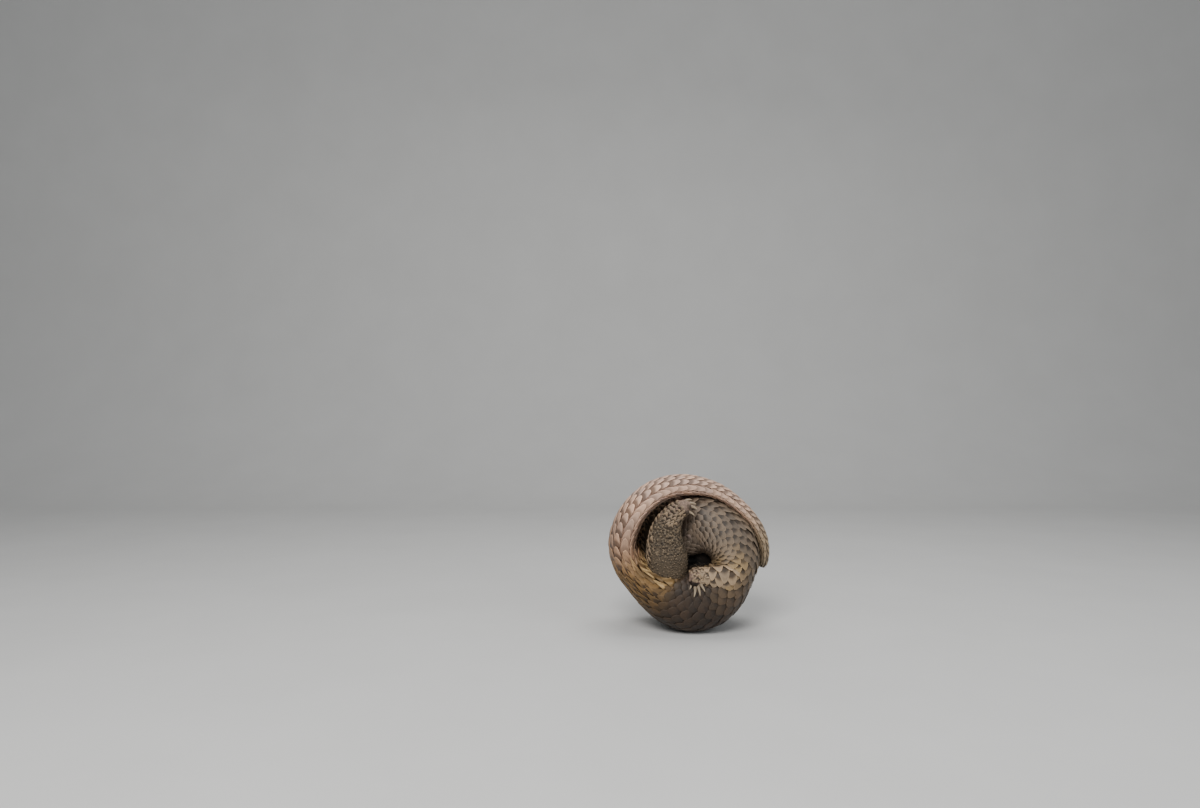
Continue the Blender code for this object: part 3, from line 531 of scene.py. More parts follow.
def lay_scales(body, rows, pattern):
    """Points of many scales. A point's share of the length and width moves it along and round the
    body from the root; its height is the plate's rise, its crown and the curl of its free edge."""
    s, turn, length, width, lift, thick, curl, aim, point, crown = (
        rows[key][:, None] for key in
        ("s", "turn", "length", "width", "lift", "thick", "curl", "aim", "point", "crown"))
    across, along, level = pattern[0].T
    belly = np.sin(np.pi * np.clip(along * 1.25, 0, 1) ** 0.8)
    narrow = 0.80 + 0.20 * belly - 0.16 * point * along ** 2
    aside = across * narrow * width / 2
    tip = (1 - point) * 0.42 * np.abs(across) ** 2.3 + point * 0.78 * np.abs(across) ** 1.3
    ahead = (along * (1 - tip) - 0.06) * length
    _, rate_along, _, _ = body.frame(s, turn)
    reach = 0.15
    span = np.linalg.norm(body.point(s, turn + reach) - body.point(s, turn - reach), axis=-1) / (2 * reach)
    onward = (ahead * np.cos(aim) - aside * np.sin(aim)) / np.linalg.norm(rate_along, axis=-1)
    sideways = (ahead * np.sin(aim) + aside * np.cos(aim)) / span
    at = np.clip(s + onward, 0.0005, body.length - 0.0005)
    here, _, _, out = body.frame(at, turn + sideways)
    rise = -0.0004 + (lift + 0.0004) * along ** 0.9 + curl * along ** 4
    dome = crown * width * (1 - np.abs(across) ** 2) * np.sin(np.pi * np.clip(along * 0.92 + 0.04, 0, 1)) ** 0.7
    edge = 1 - 0.35 * smooth(np.abs(across), 0.7, 1) * (level == 0)
    height = (rise + dome) * edge - level * thick * (1 - 0.45 * along)
    return rest(here + out * height[..., None])


def coat(name, batches, tone_of, pattern=PLATE):
    """One joined mesh from batches of (body, scales). Its maps are Scale, with across and along,
    and OFBake, with a patch for each scale at its row and column, which unwraps the body."""
    points = np.concatenate([lay_scales(body, rows, pattern) for body, rows in batches])
    count = len(points)
    size = len(pattern[0])
    sizes = [len(face) for face in pattern[1]]
    corners = np.concatenate([np.array(face) for face in pattern[1]])
    splits = np.cumsum(np.tile(sizes, count))[:-1]
    faces = [part.tolist() for part in np.split((np.arange(count)[:, None] * size + corners).ravel(), splits)]
    across, along, level = pattern[0][corners].T
    kinds = np.repeat(pattern[2], sizes)
    flat = np.stack([0.5 + 0.5 * across, along], axis=-1)
    patch = np.where((kinds == 2)[:, None], flat * (0.20, 0.86) + (0.77, 0.07),
                     (flat - 0.5) * (1 + 0.10 * level[:, None]) * (0.58, 0.82) + (0.36, 0.5))
    above = 0
    places = []
    for _, rows in batches:
        column = rows["column"] - rows["column"].min()
        row = rows["row"] - rows["row"].min()
        places.append(np.stack([column, row + above], axis=-1))
        above += row.max() + 1
    places = np.concatenate(places)
    atlas = (places[:, None, :] + patch) / (places[:, 0].max() + 1, above)
    chance = dice.random(count)
    tone = tone_of(points.mean(axis=1), chance)
    obj = make_mesh(name, points, faces,
                    {"Scale": np.tile(flat, (count, 1)), "OFBake": atlas},
                    {"tone": np.repeat(tone, size, axis=0), "chance": np.repeat(chance, size),
                     "wear": np.repeat(np.concatenate([rows["wear"] for _, rows in batches]), size),
                     "root": np.repeat(np.concatenate([rows["root"] for _, rows in batches]), size)})
    face_outwards(obj)
    return obj


# %% [markdown]
# ## Rows of scales
#
# Scales stand in rows like roof tiles, each over the gap between two of the row before. The same
# number of columns runs from the head to the root of the tail, so the scales grow with the body:
# small on the head, as wide as a thumb on the back.


# %% Rows on the spine
def rows_on(body, start, end, columns, reach, pitch, look):
    """Walks along the body by pitch(s) of true length at 60 degrees from the back, and sets the
    columns evenly over the way round from the back to reach. look(s, turn) gives the rest."""
    found = []
    s = start
    row = 0
    while s < end:
        turns = np.linspace(0, reach, 80)
        spots = body.point(np.full(80, s), turns)
        walked = np.concatenate([[0], np.cumsum(np.linalg.norm(np.diff(spots, axis=0), axis=1))])
        gap = walked[-1] / columns
        places = np.arange(0.5 * (row % 2), columns + 0.01, 1.0)
        turn = np.interp(places * gap, walked, turns)
        rate = np.linalg.norm(body.frame(np.full(len(turn), s), turn)[1], axis=-1)
        step = pitch(s) / np.linalg.norm(body.frame(np.array([s]), np.array([1.05]))[1])
        for place, t, r in zip(places, turn, rate):
            for sign in (1, -1) if place > 0 else (1,):
                found.append((s, sign * t, step * r, gap, sign * place, row))
        s += step
        row += 1
    s, turn, pace, gap, column, row = np.array(found).T
    count = len(s)
    lift, thick, overlap, spread, point, crown, curl, wear, root = look(s, np.abs(turn))
    return scale_set(
        count, s=s + dice.normal(0, 0.0004, count), turn=turn,
        length=np.minimum(pace * overlap, gap * 2.6) * dice.uniform(0.93, 1.07, count),
        width=gap * spread * dice.uniform(0.95, 1.05, count), lift=lift * dice.uniform(0.75, 1.05, count),
        thick=thick, aim=dice.normal(0, 0.05, count), point=point, crown=crown, curl=curl,
        column=column, row=row, wear=wear, root=root)


TAIL_START = spine_at("coil", 262)
BODY_MARKS = [0.0, spine_at("neck", -34), spine_at("neck", 28), spine_at("coil", 110), spine_at("coil", 180), TAIL_START]
RUMP_MARKS = [spine_at("coil", 205), spine_at("coil", 222), TAIL_START]


def body_pitch(s):
    return float(np.interp(s, BODY_MARKS, [0.0038, 0.0056, 0.0076, 0.0090, 0.0096, 0.0086]))


def shoulder_share(s, turn):
    """1 on the shoulder beside the foreleg, whose scales flare like those of the leg."""
    return bump_of(s - spine_at("neck", 92), 0.030) * smooth(np.abs(turn), math.radians(62), math.radians(84))


def body_look(s, turn):
    """Lift, thickness, overlap, spread, point, crown, curl, wear and root (painted shade at the covered root) on head
    and trunk.
    """
    lift = np.interp(s, BODY_MARKS, [0.0008, 0.0017, 0.0026, 0.0028, 0.0026, 0.0018])
    rump = smooth(s, RUMP_MARKS[0], RUMP_MARKS[1])
    low = smooth(turn, math.radians(84), math.radians(112))
    nape = smooth(s, BODY_MARKS[1] - 0.012, spine_at("neck", 0)) * (1 - smooth(s, BODY_MARKS[3] - 0.03, BODY_MARKS[3]))
    shoulder = shoulder_share(s, turn)
    top = 1 - smooth(turn, math.radians(20), math.radians(50))
    lift = lift + 0.0030 * nape * top + 0.0010 * shoulder
    wear = np.maximum(0.15 + 0.60 * nape + 0.30 * rump, shoulder)
    return (lift, 0.0011 + 0.0007 * nape, 2.9 + (0.8 + 1.0 * low) * rump, 1.12 - 0.24 * rump,
            0.12 + 0.70 * rump + 0.25 * shoulder, 0.06 + 0.045 * nape, 0.0048 * rump * low + 0.0008 * shoulder,
            wear, np.maximum(0.55 + 0.35 * nape + 0.35 * rump, shoulder))


body_scales = rows_on(spine, 0.024, TAIL_START, 7.5, math.radians(146), body_pitch, body_look)
print(len(body_scales["s"]), "scales on head and trunk")

# %% [markdown]
# ## The tail
#
# The tail is a flat strap with a margin down each side. Its back has plain rows, then comes a row
# of round, swollen scales like beads, then a broad smooth margin whose flat scales hardly show
# their edges, and a worn pale edge. Underneath are low flat scales.

# %% Columns on the tail
# Turn from the back, lift, crown, point, wear, root (painted shade at the covered root) and length in paces of each
# column
TAIL_COLUMNS = np.array([
    (0, 0.0019, 0.055, 0.00, 0.6, 0.70, 1.60), (30, 0.0019, 0.060, 0.00, 0.8, 0.75, 1.50),
    (62, 0.0024, 0.160, 0.00, 0.9, 0.80, 1.34), (92, 0.0012, 0.03, 0.35, 0.9, 0.45, 1.65),
    (118, 0.0008, 0.04, 0.20, 1.0, 0.10, 1.60), (143, 0.0014, 0.05, 0.10, 0.5, 0.60, 1.50),
    (165, 0.0018, 0.05, 0.10, 0.5, 0.60, 1.50), (180, 0.0020, 0.05, 0.10, 0.5, 0.60, 1.50),
])
TAIL_PITCH = (0.0150, 0.0095)


def tail_rows(body, start, end):
    """Columns down both sides, every second one half a pace on; a scale is as wide as its column."""
    found = []
    s = start
    row = 0
    turns = np.radians(TAIL_COLUMNS[:, 0])
    edges = np.concatenate([[-turns[1] / 2], (turns[:-1] + turns[1:]) / 2, [np.pi + (turns[-1] - turns[-2]) / 2]])
    while s < end:
        pitch = np.interp(s, [TAIL_START, body.length], TAIL_PITCH)
        for column, turn in enumerate(turns):
            place = s + pitch / 2 * (column % 2)
            arc = body.point(np.full(9, place), np.linspace(edges[column], edges[column + 1], 9))
            wide = np.linalg.norm(np.diff(arc, axis=0), axis=1).sum()
            pace = pitch * np.linalg.norm(body.frame(np.array(place), np.array(turn))[1])
            for sign in (1, -1) if 0 < column < len(turns) - 1 else (1,):
                found.append((place, sign * turn, pace, wide, sign * column, row))
        s += pitch
        row += 1
    found = [entry for entry in found if entry[0] < end]
    s, turn, pace, wide, column, row = np.array(found).T
    count = len(s)
    lift, crown, point, wear, root, paces = TAIL_COLUMNS[np.abs(column).astype(int), 1:].T
    slim = np.interp(s, [TAIL_START, body.length], [1.0, 0.62])
    return scale_set(count, s=s + dice.normal(0, 0.0005, count), turn=turn, length=pace * paces,
                     width=wide * 1.16 * dice.uniform(0.95, 1.04, count),
                     lift=lift * slim * dice.uniform(0.85, 1.1, count), thick=0.0011 * slim,
                     aim=dice.normal(0, 0.04, count), point=point, crown=crown, wear=wear, root=root,
                     column=column, row=row)


tail_scales = tail_rows(spine, TAIL_START - 0.004, spine.length - 0.010)
print(len(tail_scales["s"]), "scales on the tail")

# %% [markdown]
# ## Colours of the animal
#
# The horn is a grey brown on nape and shoulders, and much darker under the ball as painted shade. It is ochre
# on the haunch and a pinkish beige along the tail, worn pale and also lightened on top of the ball as painted light.
# These few tones are set by where on the spine a scale grows, and each scale then differs a little from its
# neighbours.

# %% Tones along the spine
TONE_MARKS = [0.0, spine_at("neck", -34), spine_at("neck", 40), spine_at("neck", 80), spine_at("coil", 118),
              spine_at("coil", 150), spine_at("coil", 200), spine_at("coil", 222), spine_at("coil", 246),
              spine_at("coil", 270), spine_at("coil", 310), spine_at("coil", 400), spine_at("coil", 430),
              spine.length]
# Tones at the marks: the trunk under the ball (coil 118 to 200) is its own brown darkened much further as painted
# shade; the light tail tones are partly real colour and partly painted light
SPINE_TONES_AND_PAINTED_LIGHT = np.array([
    (0.150, 0.115, 0.085), (0.140, 0.103, 0.074), (0.160, 0.117, 0.080), (0.145, 0.102, 0.063),
    (0.070, 0.045, 0.027), (0.031, 0.0175, 0.0095), (0.036, 0.020, 0.0095), (0.140, 0.076, 0.020),
    (0.190, 0.106, 0.035), (0.350, 0.208, 0.130), (0.640, 0.420, 0.310), (0.640, 0.425, 0.310),
    (0.380, 0.275, 0.170), (0.190, 0.152, 0.096),
])
line_s = np.linspace(0, spine.length, 400)
line_points, _, _, line_reach = spine.section(line_s)


def tone_at(s):
    """The tone at a place on the spine."""
    return np.stack([np.interp(s, TONE_MARKS, SPINE_TONES_AND_PAINTED_LIGHT[:, channel]) for channel in range(3)], axis=1)


def spine_tone(points):
    """The tone at the place of the spine's line that is nearest, for the thickness there."""
    squares = (points ** 2).sum(-1)[:, None] - 2 * points @ line_points.T + (line_points ** 2).sum(-1)
    return tone_at(line_s[np.argmin(squares / line_reach.mean(axis=1) ** 2, axis=1)])


def varied(tone, chance, amount=0.18):
    """Lighter or darker by chance, and a little warmer where lighter."""
    light = 1 + amount * (2 * chance[:, None] - 1)
    warm = np.array([1.03, 1.0, 0.95]) ** (2 * chance[:, None] - 1)
    return tone * light * warm


def body_tone(points, chance):
    """The spine's tones; the shoulder is straw, and so are a few points at the edge of the haunch."""
    s, turn = body_scales["s"], body_scales["turn"]
    start = smooth(s, spine_at("coil", 214), spine_at("coil", 226)) * (1 - smooth(s, TAIL_START - 0.03, TAIL_START))
    haunch = start * (np.abs(turn) > math.radians(96)) * (chance > 0.35)
    bright = np.maximum(0.9 * haunch, shoulder_share(s, turn) * (0.25 + 0.45 * (chance < 0.5)))[:, None]
    straw = np.array((0.400, 0.260, 0.110))
    return varied(tone_at(s), chance, 0.24) * (1 - bright) + straw * bright


# %% The coats of the spine
body_coat = coat("scales_body", [(spine, body_scales)], body_tone)
tail_coat = coat("scales_tail", [(spine, tail_scales)], lambda p, c: varied(tone_at(tail_scales["s"]), c, 0.12))
print(len(body_coat.data.polygons) + len(tail_coat.data.polygons), "faces")

# %% [markdown]
# ## Scales of the legs
#
# The foreleg carries flared scales that point down and stand off like shingles. The hind leg has
# small ones on its outer edge and instep, which give way to a skin of small grains.


# %% Rows on the legs
FORE_ROWS = (104, 70, 36, 2, -32, -64)
FORE_SPACING = 0.0150
FORE_LENGTH = 0.0200


def foreleg_scales():
    """Broad shields that point down the leg's side; each row stands over the gaps of the next."""
    spots = []
    for row, turn in enumerate(FORE_ROWS):
        for column, s in enumerate(np.arange(0.001 + FORE_SPACING / 2 * (row % 2), 0.074, FORE_SPACING)):
            size = FORE_LENGTH * (1 - 0.38 * smooth(s, 0.035, 0.074))
            spots.append((s, math.radians(turn), size, column, row))
    s, turn, size, column, row = np.array(spots).T
    count = len(s)
    return scale_set(count, s=s + dice.normal(0, 0.0006, count), turn=turn,
                     length=size * dice.uniform(0.92, 1.08, count), width=size * 0.98, lift=0.0017, thick=0.0012,
                     curl=0.0003, aim=dice.normal(-math.pi / 2, 0.10, count), point=0.32, crown=0.055,
                     column=column, row=row, wear=1.0, root=1.0)


def leg_grid(leg, pace, wide, first, last, turns):
    """A brick pattern of places on a leg: pace along, wide across, between two turns."""
    spots = []
    for row, s in enumerate(np.arange(first, last, pace)):
        angles = np.linspace(turns[0], turns[1], 60)
        walked = np.concatenate([[0], np.cumsum(np.linalg.norm(
            np.diff(leg.point(np.full(60, s), angles), axis=0), axis=1))])
        places = np.arange(0.5 * (row % 2), walked[-1] / wide, 1.0)
        for place, angle in zip(places, np.interp(places * wide, walked, angles)):
            spots.append((s, angle, place, row))
    return np.array(spots).T


def scaly(s, turn):
    """1 where the hind leg has scales: the instep, and a strip down its front edge. Else 0."""
    instep = smooth(s + 0.012 * np.cos(turn * 2.2), 0.098, 0.112)
    front = smooth(-turn, math.radians(48), math.radians(72)) * smooth(s, 0.030, 0.055)
    return np.maximum(instep, front)


def hind_scales(leg):
    """Small shields on the instep and the front edge, that shrink towards the toes."""
    s, turn, column, row = leg_grid(leg, 0.0050, 0.0060, 0.030, leg.length - 0.016,
                                    (math.radians(-150), math.radians(110)))
    keep = scaly(s, turn) > 0.5
    s, turn, column, row = (values[keep] for values in (s, turn, column, row))
    count = len(s)
    size = 1 - 0.35 * smooth(s, 0.10, 0.140)
    return scale_set(count, s=s + dice.normal(0, 0.0004, count), turn=turn + dice.normal(0, 0.02, count),
                     length=0.0092 * size * dice.uniform(0.85, 1.15, count), width=0.0074 * size, lift=0.0016,
                     thick=0.0008, aim=dice.normal(0, 0.14, count), point=0.1, crown=0.12, column=column, row=row,
                     wear=0.9, root=1.0)


def foot_scales(leg):
    """The last, smallest shields, all round the wrist and over the forefoot."""
    s, turn, column, row = leg_grid(leg, 0.0036, 0.0050, 0.056, leg.length - 0.004,
                                    (math.radians(-150), math.radians(150)))
    count = len(s)
    size = 1 - 0.40 * smooth(s, 0.056, 0.080)
    return scale_set(count, s=s + dice.normal(0, 0.0004, count), turn=turn + dice.normal(0, 0.05, count),
                     length=0.0082 * size * dice.uniform(0.85, 1.15, count), width=0.0066 * size, lift=0.0012,
                     thick=0.0007, aim=dice.normal(0, 0.2, count), point=0.15, crown=0.10, column=column, row=row,
                     wear=0.8, root=0.9)


def hind_grains(leg):
    """Grains of horn of uneven size, with a few places left bare."""
    s, turn, column, row = leg_grid(leg, 0.0031, 0.0036, 0.022, 0.112, (math.radians(-120), math.radians(120)))
    keep = (scaly(s, turn) <= 0.5) & (dice.random(len(s)) > 0.08)
    s, turn, column, row = (values[keep] for values in (s, turn, column, row))
    count = len(s)
    size = (0.80 + 0.45 * smooth(s, 0.03, 0.09)) * dice.uniform(0.72, 1.25, count)
    return scale_set(count, s=s + dice.normal(0, 0.0008, count), turn=turn + dice.normal(0, 0.045, count),
                     length=0.0043 * size, width=0.0031 * size, lift=0.0008 * size,
                     thick=0.0005, aim=dice.normal(0, 0.38, count), point=0.0, crown=0.14, column=column, row=row,
                     wear=0.45, root=0.9)


LEG_TONES = {"fore": (0.300, 0.212, 0.130), "hind": (0.230, 0.162, 0.100), "grain": (0.148, 0.108, 0.067)}
leg_batches, grain_batches = [], []
leg_tones, grain_tones = [], []
for side_name, mirror in SIDES:
    fore = foreleg_scales()
    hind = hind_scales(limbs["hind", side_name])
    grains = hind_grains(limbs["hind", side_name])
    foot = foot_scales(limbs["fore", side_name])
    leg_batches += [(limbs["fore", side_name], fore), (limbs["fore", side_name], foot),
                    (limbs["hind", side_name], hind)]
    leg_tones += [LEG_TONES["fore"]] * (len(fore["s"]) + len(foot["s"])) + [LEG_TONES["hind"]] * len(hind["s"])
    grain_batches.append((limbs["hind", side_name], grains))
    grain_tones += [LEG_TONES["grain"]] * len(grains["s"])
leg_coat = coat("scales_legs", leg_batches, lambda p, c: varied(np.array(leg_tones), c, 0.20))
grain_coat = coat("grains_legs", grain_batches, lambda p, c: varied(np.array(grain_tones), c, 0.30), GRAIN)
print(len(leg_tones), "scales and", len(grain_tones), "grains on the legs")

# %% [markdown]
# ## Horn
#
# Fine grooves run from the root to the edge, faint growth lines run across them, the rim is worn
# pale, and the covered roots are darkened as painted shade. The grooves are noise stretched along each scale's own
# map.


# %% Material of the scales
def horn_paint(name, pale, wear_amount=0.95):
    paint = Paint(name, Roughness=0.5, Specular_IOR_Level=0.45)
    uv = paint.uv("Scale")
    chance = paint.attribute("chance")
    offset = paint.out("ShaderNodeCombineXYZ", {}, {0: chance * 37.0, 1: chance * 11.0, 2: chance * 23.0})
    parts = paint.node("ShaderNodeSeparateXYZ", {}, {0: uv})
    across, along = Value(paint, parts.outputs[0]), Value(paint, parts.outputs[1])
    aside = (across * 2.0 - 1.0).sum("ABSOLUTE", across * 2.0 - 1.0)
    grooves = paint.noise(paint.shift(paint.stretch(uv, (13.0, 0.9, 1.0)), offset), 1.0, 2.0, 0.6)
    growth = paint.noise(paint.shift(paint.stretch(uv, (0.8, 16.0, 1.0)), offset), 1.0, 2.0, 0.5)
    grain = paint.noise(paint.place(), 900.0, 3.0, 0.6)
    blotch = paint.noise(paint.place(), 90.0, 4.0, 0.6)
    tip = paint.range(along, 0.88, 0.98)
    side = paint.range(aside, 0.86, 0.98) * paint.range(along, 0.58, 0.80)
    rim = tip.sum("MAXIMUM", tip, side)
    wear = paint.range(blotch, 0.30, 0.65, 0.45, 1.0) * paint.attribute("wear")
    shade = 0.50 + grooves * 0.50 + growth * 0.28 + grain * 0.16
    tint = paint.out("ShaderNodeCombineXYZ", {}, {0: shade, 1: shade, 2: shade})
    tone = paint.attribute("tone", "Color")
    colour = paint.mix(1.0, tone, tint, "MULTIPLY")
    pale_tone = paint.mix(0.18, paint.mix(1.0, tone, (1.7, 1.7, 1.7), "MULTIPLY"), pale)
    colour = paint.mix(rim * wear * wear_amount, colour, pale_tone)
    # Painted shade: the root of each scale, under the free edge of the one before, is darkened towards a sixth of its
    # tone
    root = paint.range(along, 0.42, 0.74, 1.0, 0.0) * paint.attribute("root")
    root_shade = paint.mix(1.0, tone, (0.16, 0.14, 0.12), "MULTIPLY")
    colour = paint.mix(root, colour, root_shade)
    paint.feed("Base Color", colour)
    paint.feed("Roughness", 0.40 + blotch * 0.24 + grooves * 0.12)
    paint.bump(grooves * 0.55 + growth * 0.25 + grain * 0.20, 0.0008, 0.9)
    return paint.material


horn = horn_paint("horn", (0.40, 0.31, 0.22))
for piece in (body_coat, tail_coat, leg_coat, grain_coat):
    piece.data.materials.append(horn)

# %% [markdown]
# ## The skin
#
# One closed skin lies under the scales: the spine's body with the four legs and their toes
# joined to it. Each is a tube from its stations; one Boolean union makes them one surface.


# %% The face
EYE_AT, EYE_TURN, EYE_RADIUS = 0.0290, math.radians(62), 0.0036
EAR_AT, EAR_TURN, EAR_SIZE = 0.0530, math.radians(80), np.array((0.0062, 0.0042, 0.0034))
MOUTH_TURN, MOUTH_START, MOUTH_END = math.radians(122), 0.0012, 0.0170
NOSTRIL_AT, NOSTRIL_TURN = 0.0016, math.radians(48)


def face(body, s, turn):
    """Height of the face over the smooth head: lids round the eye, lips, nostrils and wrinkles."""
    turn = np.abs((turn + np.pi) % (2 * np.pi) - np.pi)
    around = np.linalg.norm(body.frame(s, turn)[2], axis=-1)
    ahead = s - EYE_AT
    aside = (turn - EYE_TURN) * around
    far = np.hypot(ahead, aside * 1.15)
    lids = 0.0012 * bump_of(far - EYE_RADIUS * 1.02, 0.0010) + 0.0004 * bump_of(far - EYE_RADIUS * 1.75, 0.0009)
    pit = -0.0030 * (1 - smooth(far, EYE_RADIUS * 0.55, EYE_RADIUS * 0.92))
    corner = -0.0007 * bump_of(aside, 0.0006) * bump_of(np.abs(ahead) - EYE_RADIUS * 1.25, 0.0016)
    beyond = np.maximum(s - MOUTH_END, 0) + np.maximum(MOUTH_START - s, 0)
    across = (turn - MOUTH_TURN) * around
    lips = (0.0006 * bump_of(np.abs(across) - 0.0011, 0.0006) - 0.0011 * bump_of(across, 0.00045)) * bump_of(beyond, 0.0012)
    nostril = np.hypot(s - NOSTRIL_AT - 0.0004, (turn - NOSTRIL_TURN) * around * 0.7)
    nose = 0.0004 * bump_of(nostril - 0.0016, 0.0006) - 0.0016 * bump_of(nostril, 0.0008)
    wrinkles = 0.00018 * np.sin(s * 2600 + 1.2 * np.sin(turn * 5)) * smooth(s, 0.004, 0.010) * (1 - smooth(s, 0.040, 0.060))
    return (lids + pit + corner + nose + lips + wrinkles) * (s < 0.07)


def foot_folds(body, s, turn):
    """Height of a foot over its smooth shape: cross folds, and pads on the sole."""
    share = s / body.length
    foot = smooth(share, 0.70, 0.84)
    folds = 0.00045 * np.sin(s * 1500 + 1.5 * np.sin(2 * turn)) + 0.00025 * np.sin(s * 3300 + 2 * np.cos(3 * turn))
    creases = 0.0003 * np.sin(s * 900 + 2.0 * np.sin(turn)) * smooth(share, 0.2, 0.5) * (1 - foot)
    return folds * foot + creases


# %% A tube of skin
def skin_tube(name, body, ring_places, sides, relief):
    """A tube over the stations; relief(body, s, turn) moves its points outwards."""
    turn = np.linspace(0, 2 * np.pi, sides, endpoint=False)
    s = ring_places[:, None] + 0 * turn
    turn = turn + 0 * s
    _, _, _, out = body.frame(np.clip(s, 0.0004, body.length - 0.0004), turn)
    points = rest(body.point(s, turn) + out * relief(body, s, turn)[..., None])
    obj = make_mesh(name, points, tube_faces(len(ring_places), sides))
    face_outwards(obj)
    return obj


def ball_points(centre, radii, axes, rings=24, sides=32):
    """centre + radii * (sin p cos q, sin p sin q, cos p) on the given axes."""
    p = np.linspace(0.02, np.pi - 0.02, rings)[:, None]
    q = np.linspace(0, 2 * np.pi, sides, endpoint=False)
    grid = np.stack([np.sin(p) * np.cos(q), np.sin(p) * np.sin(q), np.cos(p) + 0 * q], axis=-1)
    return centre + (grid * radii) @ axes


def toe(name, root, tip, radius, sides=12, rings=9):
    """A toe: a rounded rod whose radius follows the root of 1 - (2t - 1)^4."""
    t = np.linspace(0.02, 0.98, rings)[:, None]
    way = unit(tip - root)
    first = unit(np.cross(way, (0.0, 0.3, 1.0)))
    second = np.cross(way, first)
    turn = np.linspace(0, 2 * np.pi, sides, endpoint=False)
    size = radius * np.sqrt(1 - (2 * t - 1) ** 4) * (1 + 0.10 * np.sin(t * 17))
    ring = np.cos(turn)[:, None] * first + np.sin(turn)[:, None] * second
    points = (root + (tip - root) * t)[:, None, :] + size[..., None] * ring
    obj = make_mesh(name, points, tube_faces(rings, sides))
    face_outwards(obj)
    return obj


spine_rings = np.concatenate([np.linspace(0, 0.064, 128), np.linspace(0.066, spine.length, 230)])
skin = skin_tube("skin", spine, spine_rings, 112, face)
extras = []
# Loose skin of the throat, of the belly and between nape and tail: middle and radii
LOOSE_SKIN = (((0.0240, 0.0, 0.1010), (0.027, 0.017, 0.022)), ((-0.0085, 0.0, 0.0955), (0.021, 0.017, 0.0105)),
              ((0.0045, 0.0, 0.1885), (0.018, 0.013, 0.0048)))
for place, radii in LOOSE_SKIN:
    extras.append(make_mesh("loose_skin", ball_points(np.array(place), radii, np.eye(3), 16, 24), tube_faces(16, 24)))
    face_outwards(extras[-1])
for (kind, side_name), limb in limbs.items():
    extras.append(skin_tube("limb", limb, np.linspace(0, limb.length, 110), 48, foot_folds))
    mirror = dict(SIDES)[side_name]
    for root, tip, bow, radius in HIND_CLAWS if kind == "hind" else FORE_CLAWS:
        root, tip = claw_ends(root, tip, mirror, leans[kind, side_name])
        way = tip - root
        extras.append(toe("toe", root - way * 0.50, root + way * 0.40, radius * 1.60))
group = bpy.data.collections.new("skin_parts")
for extra in extras:
    group.objects.link(extra)
join = skin.modifiers.new("join", "BOOLEAN")
join.operation = "UNION"
join.solver = "EXACT"
join.operand_type = "COLLECTION"
join.collection = group
graph = bpy.context.evaluated_depsgraph_get()
joined = bpy.data.meshes.new_from_object(skin.evaluated_get(graph))
skin.modifiers.clear()
skin.data = joined
for extra in extras:
    bpy.data.objects.remove(extra, do_unlink=True)
bpy.data.collections.remove(group)
skin.data.polygons.foreach_set("use_smooth", np.ones(len(skin.data.polygons), bool))
print("the skin has", len(skin.data.polygons), "faces")

# %% Tones of the skin, with painted shade in the hollows
HIDE_TONE = {"hind": (0.118, 0.086, 0.055), "fore": (0.120, 0.086, 0.060)}
FOOT_TONE = (0.330, 0.225, 0.170)


def points_of(obj):
    flat = np.empty(len(obj.data.vertices) * 3)
    obj.data.vertices.foreach_get("co", flat)
    return flat.reshape(-1, 3)


skin_points = points_of(skin)
skin_tone = spine_tone(skin_points) * (0.55, 0.50, 0.48)
# Painted shade: the skin in and around each loose skin is darkened by up to three quarters, in the hollows where it
# lies
for place, radii in LOOSE_SKIN:
    hollow_shade = 1 - smooth(np.linalg.norm((skin_points - place) / radii, axis=1), 1.1, 1.6)
    skin_tone *= (1 - 0.75 * hollow_shade)[:, None]
for (kind, side_name), limb in limbs.items():
    s = np.linspace(0, limb.length, 120)
    centre, _, _, reach = limb.section(s)
    apart = np.linalg.norm(skin_points[:, None, :] - centre, axis=-1)
    nearest = np.argmin(apart, axis=1)
    close = apart[np.arange(len(apart)), nearest] / reach[nearest].max(axis=1)
    mask = (1 - smooth(close, 1.02, 1.15))[:, None]
    foot = smooth(s[nearest] / limb.length, 0.66, 0.82)[:, None]
    tone = np.array(HIDE_TONE[kind]) * (1 - foot) + np.array(FOOT_TONE) * foot
    skin_tone = skin_tone * (1 - mask) + tone * mask
full = np.concatenate([skin_tone, np.ones((len(skin_tone), 1))], axis=1).astype(np.float32)
skin.data.attributes.new("tone", "FLOAT_COLOR", "POINT").data.foreach_set("color", full.ravel())


# %% Material of the skin
def hide_paint():
    """Granular skin: cells of two sizes, with folds between them, which are darker."""
    paint = Paint("hide", Roughness=0.7, Specular_IOR_Level=0.3)
    place = paint.place()
    grains = paint.cells(place, 330.0)
    small = paint.cells(place, 900.0)
    patch = paint.noise(place, 60.0, 4.0, 0.6)
    shade = 0.66 + patch * 0.5 - grains * 0.5 + small * 0.1
    tint = paint.out("ShaderNodeCombineXYZ", {}, {0: shade, 1: shade, 2: shade})
    paint.feed("Base Color", paint.mix(1.0, paint.attribute("tone", "Color"), tint, "MULTIPLY"))
    paint.feed("Roughness", 0.62 + patch * 0.2)
    paint.bump((1 - grains) * 0.7 + (1 - small) * 0.3, 0.0008, 0.9)
    return paint.material


skin.data.materials.clear()
skin.data.materials.append(hide_paint())

# %% [markdown]
# ## Claws, eyes and ears
#
# Claws are curved cones of pale horn. The eyes are small black beads deep in thick lids, and the
# ears are low cups of skin at the sides of the head.


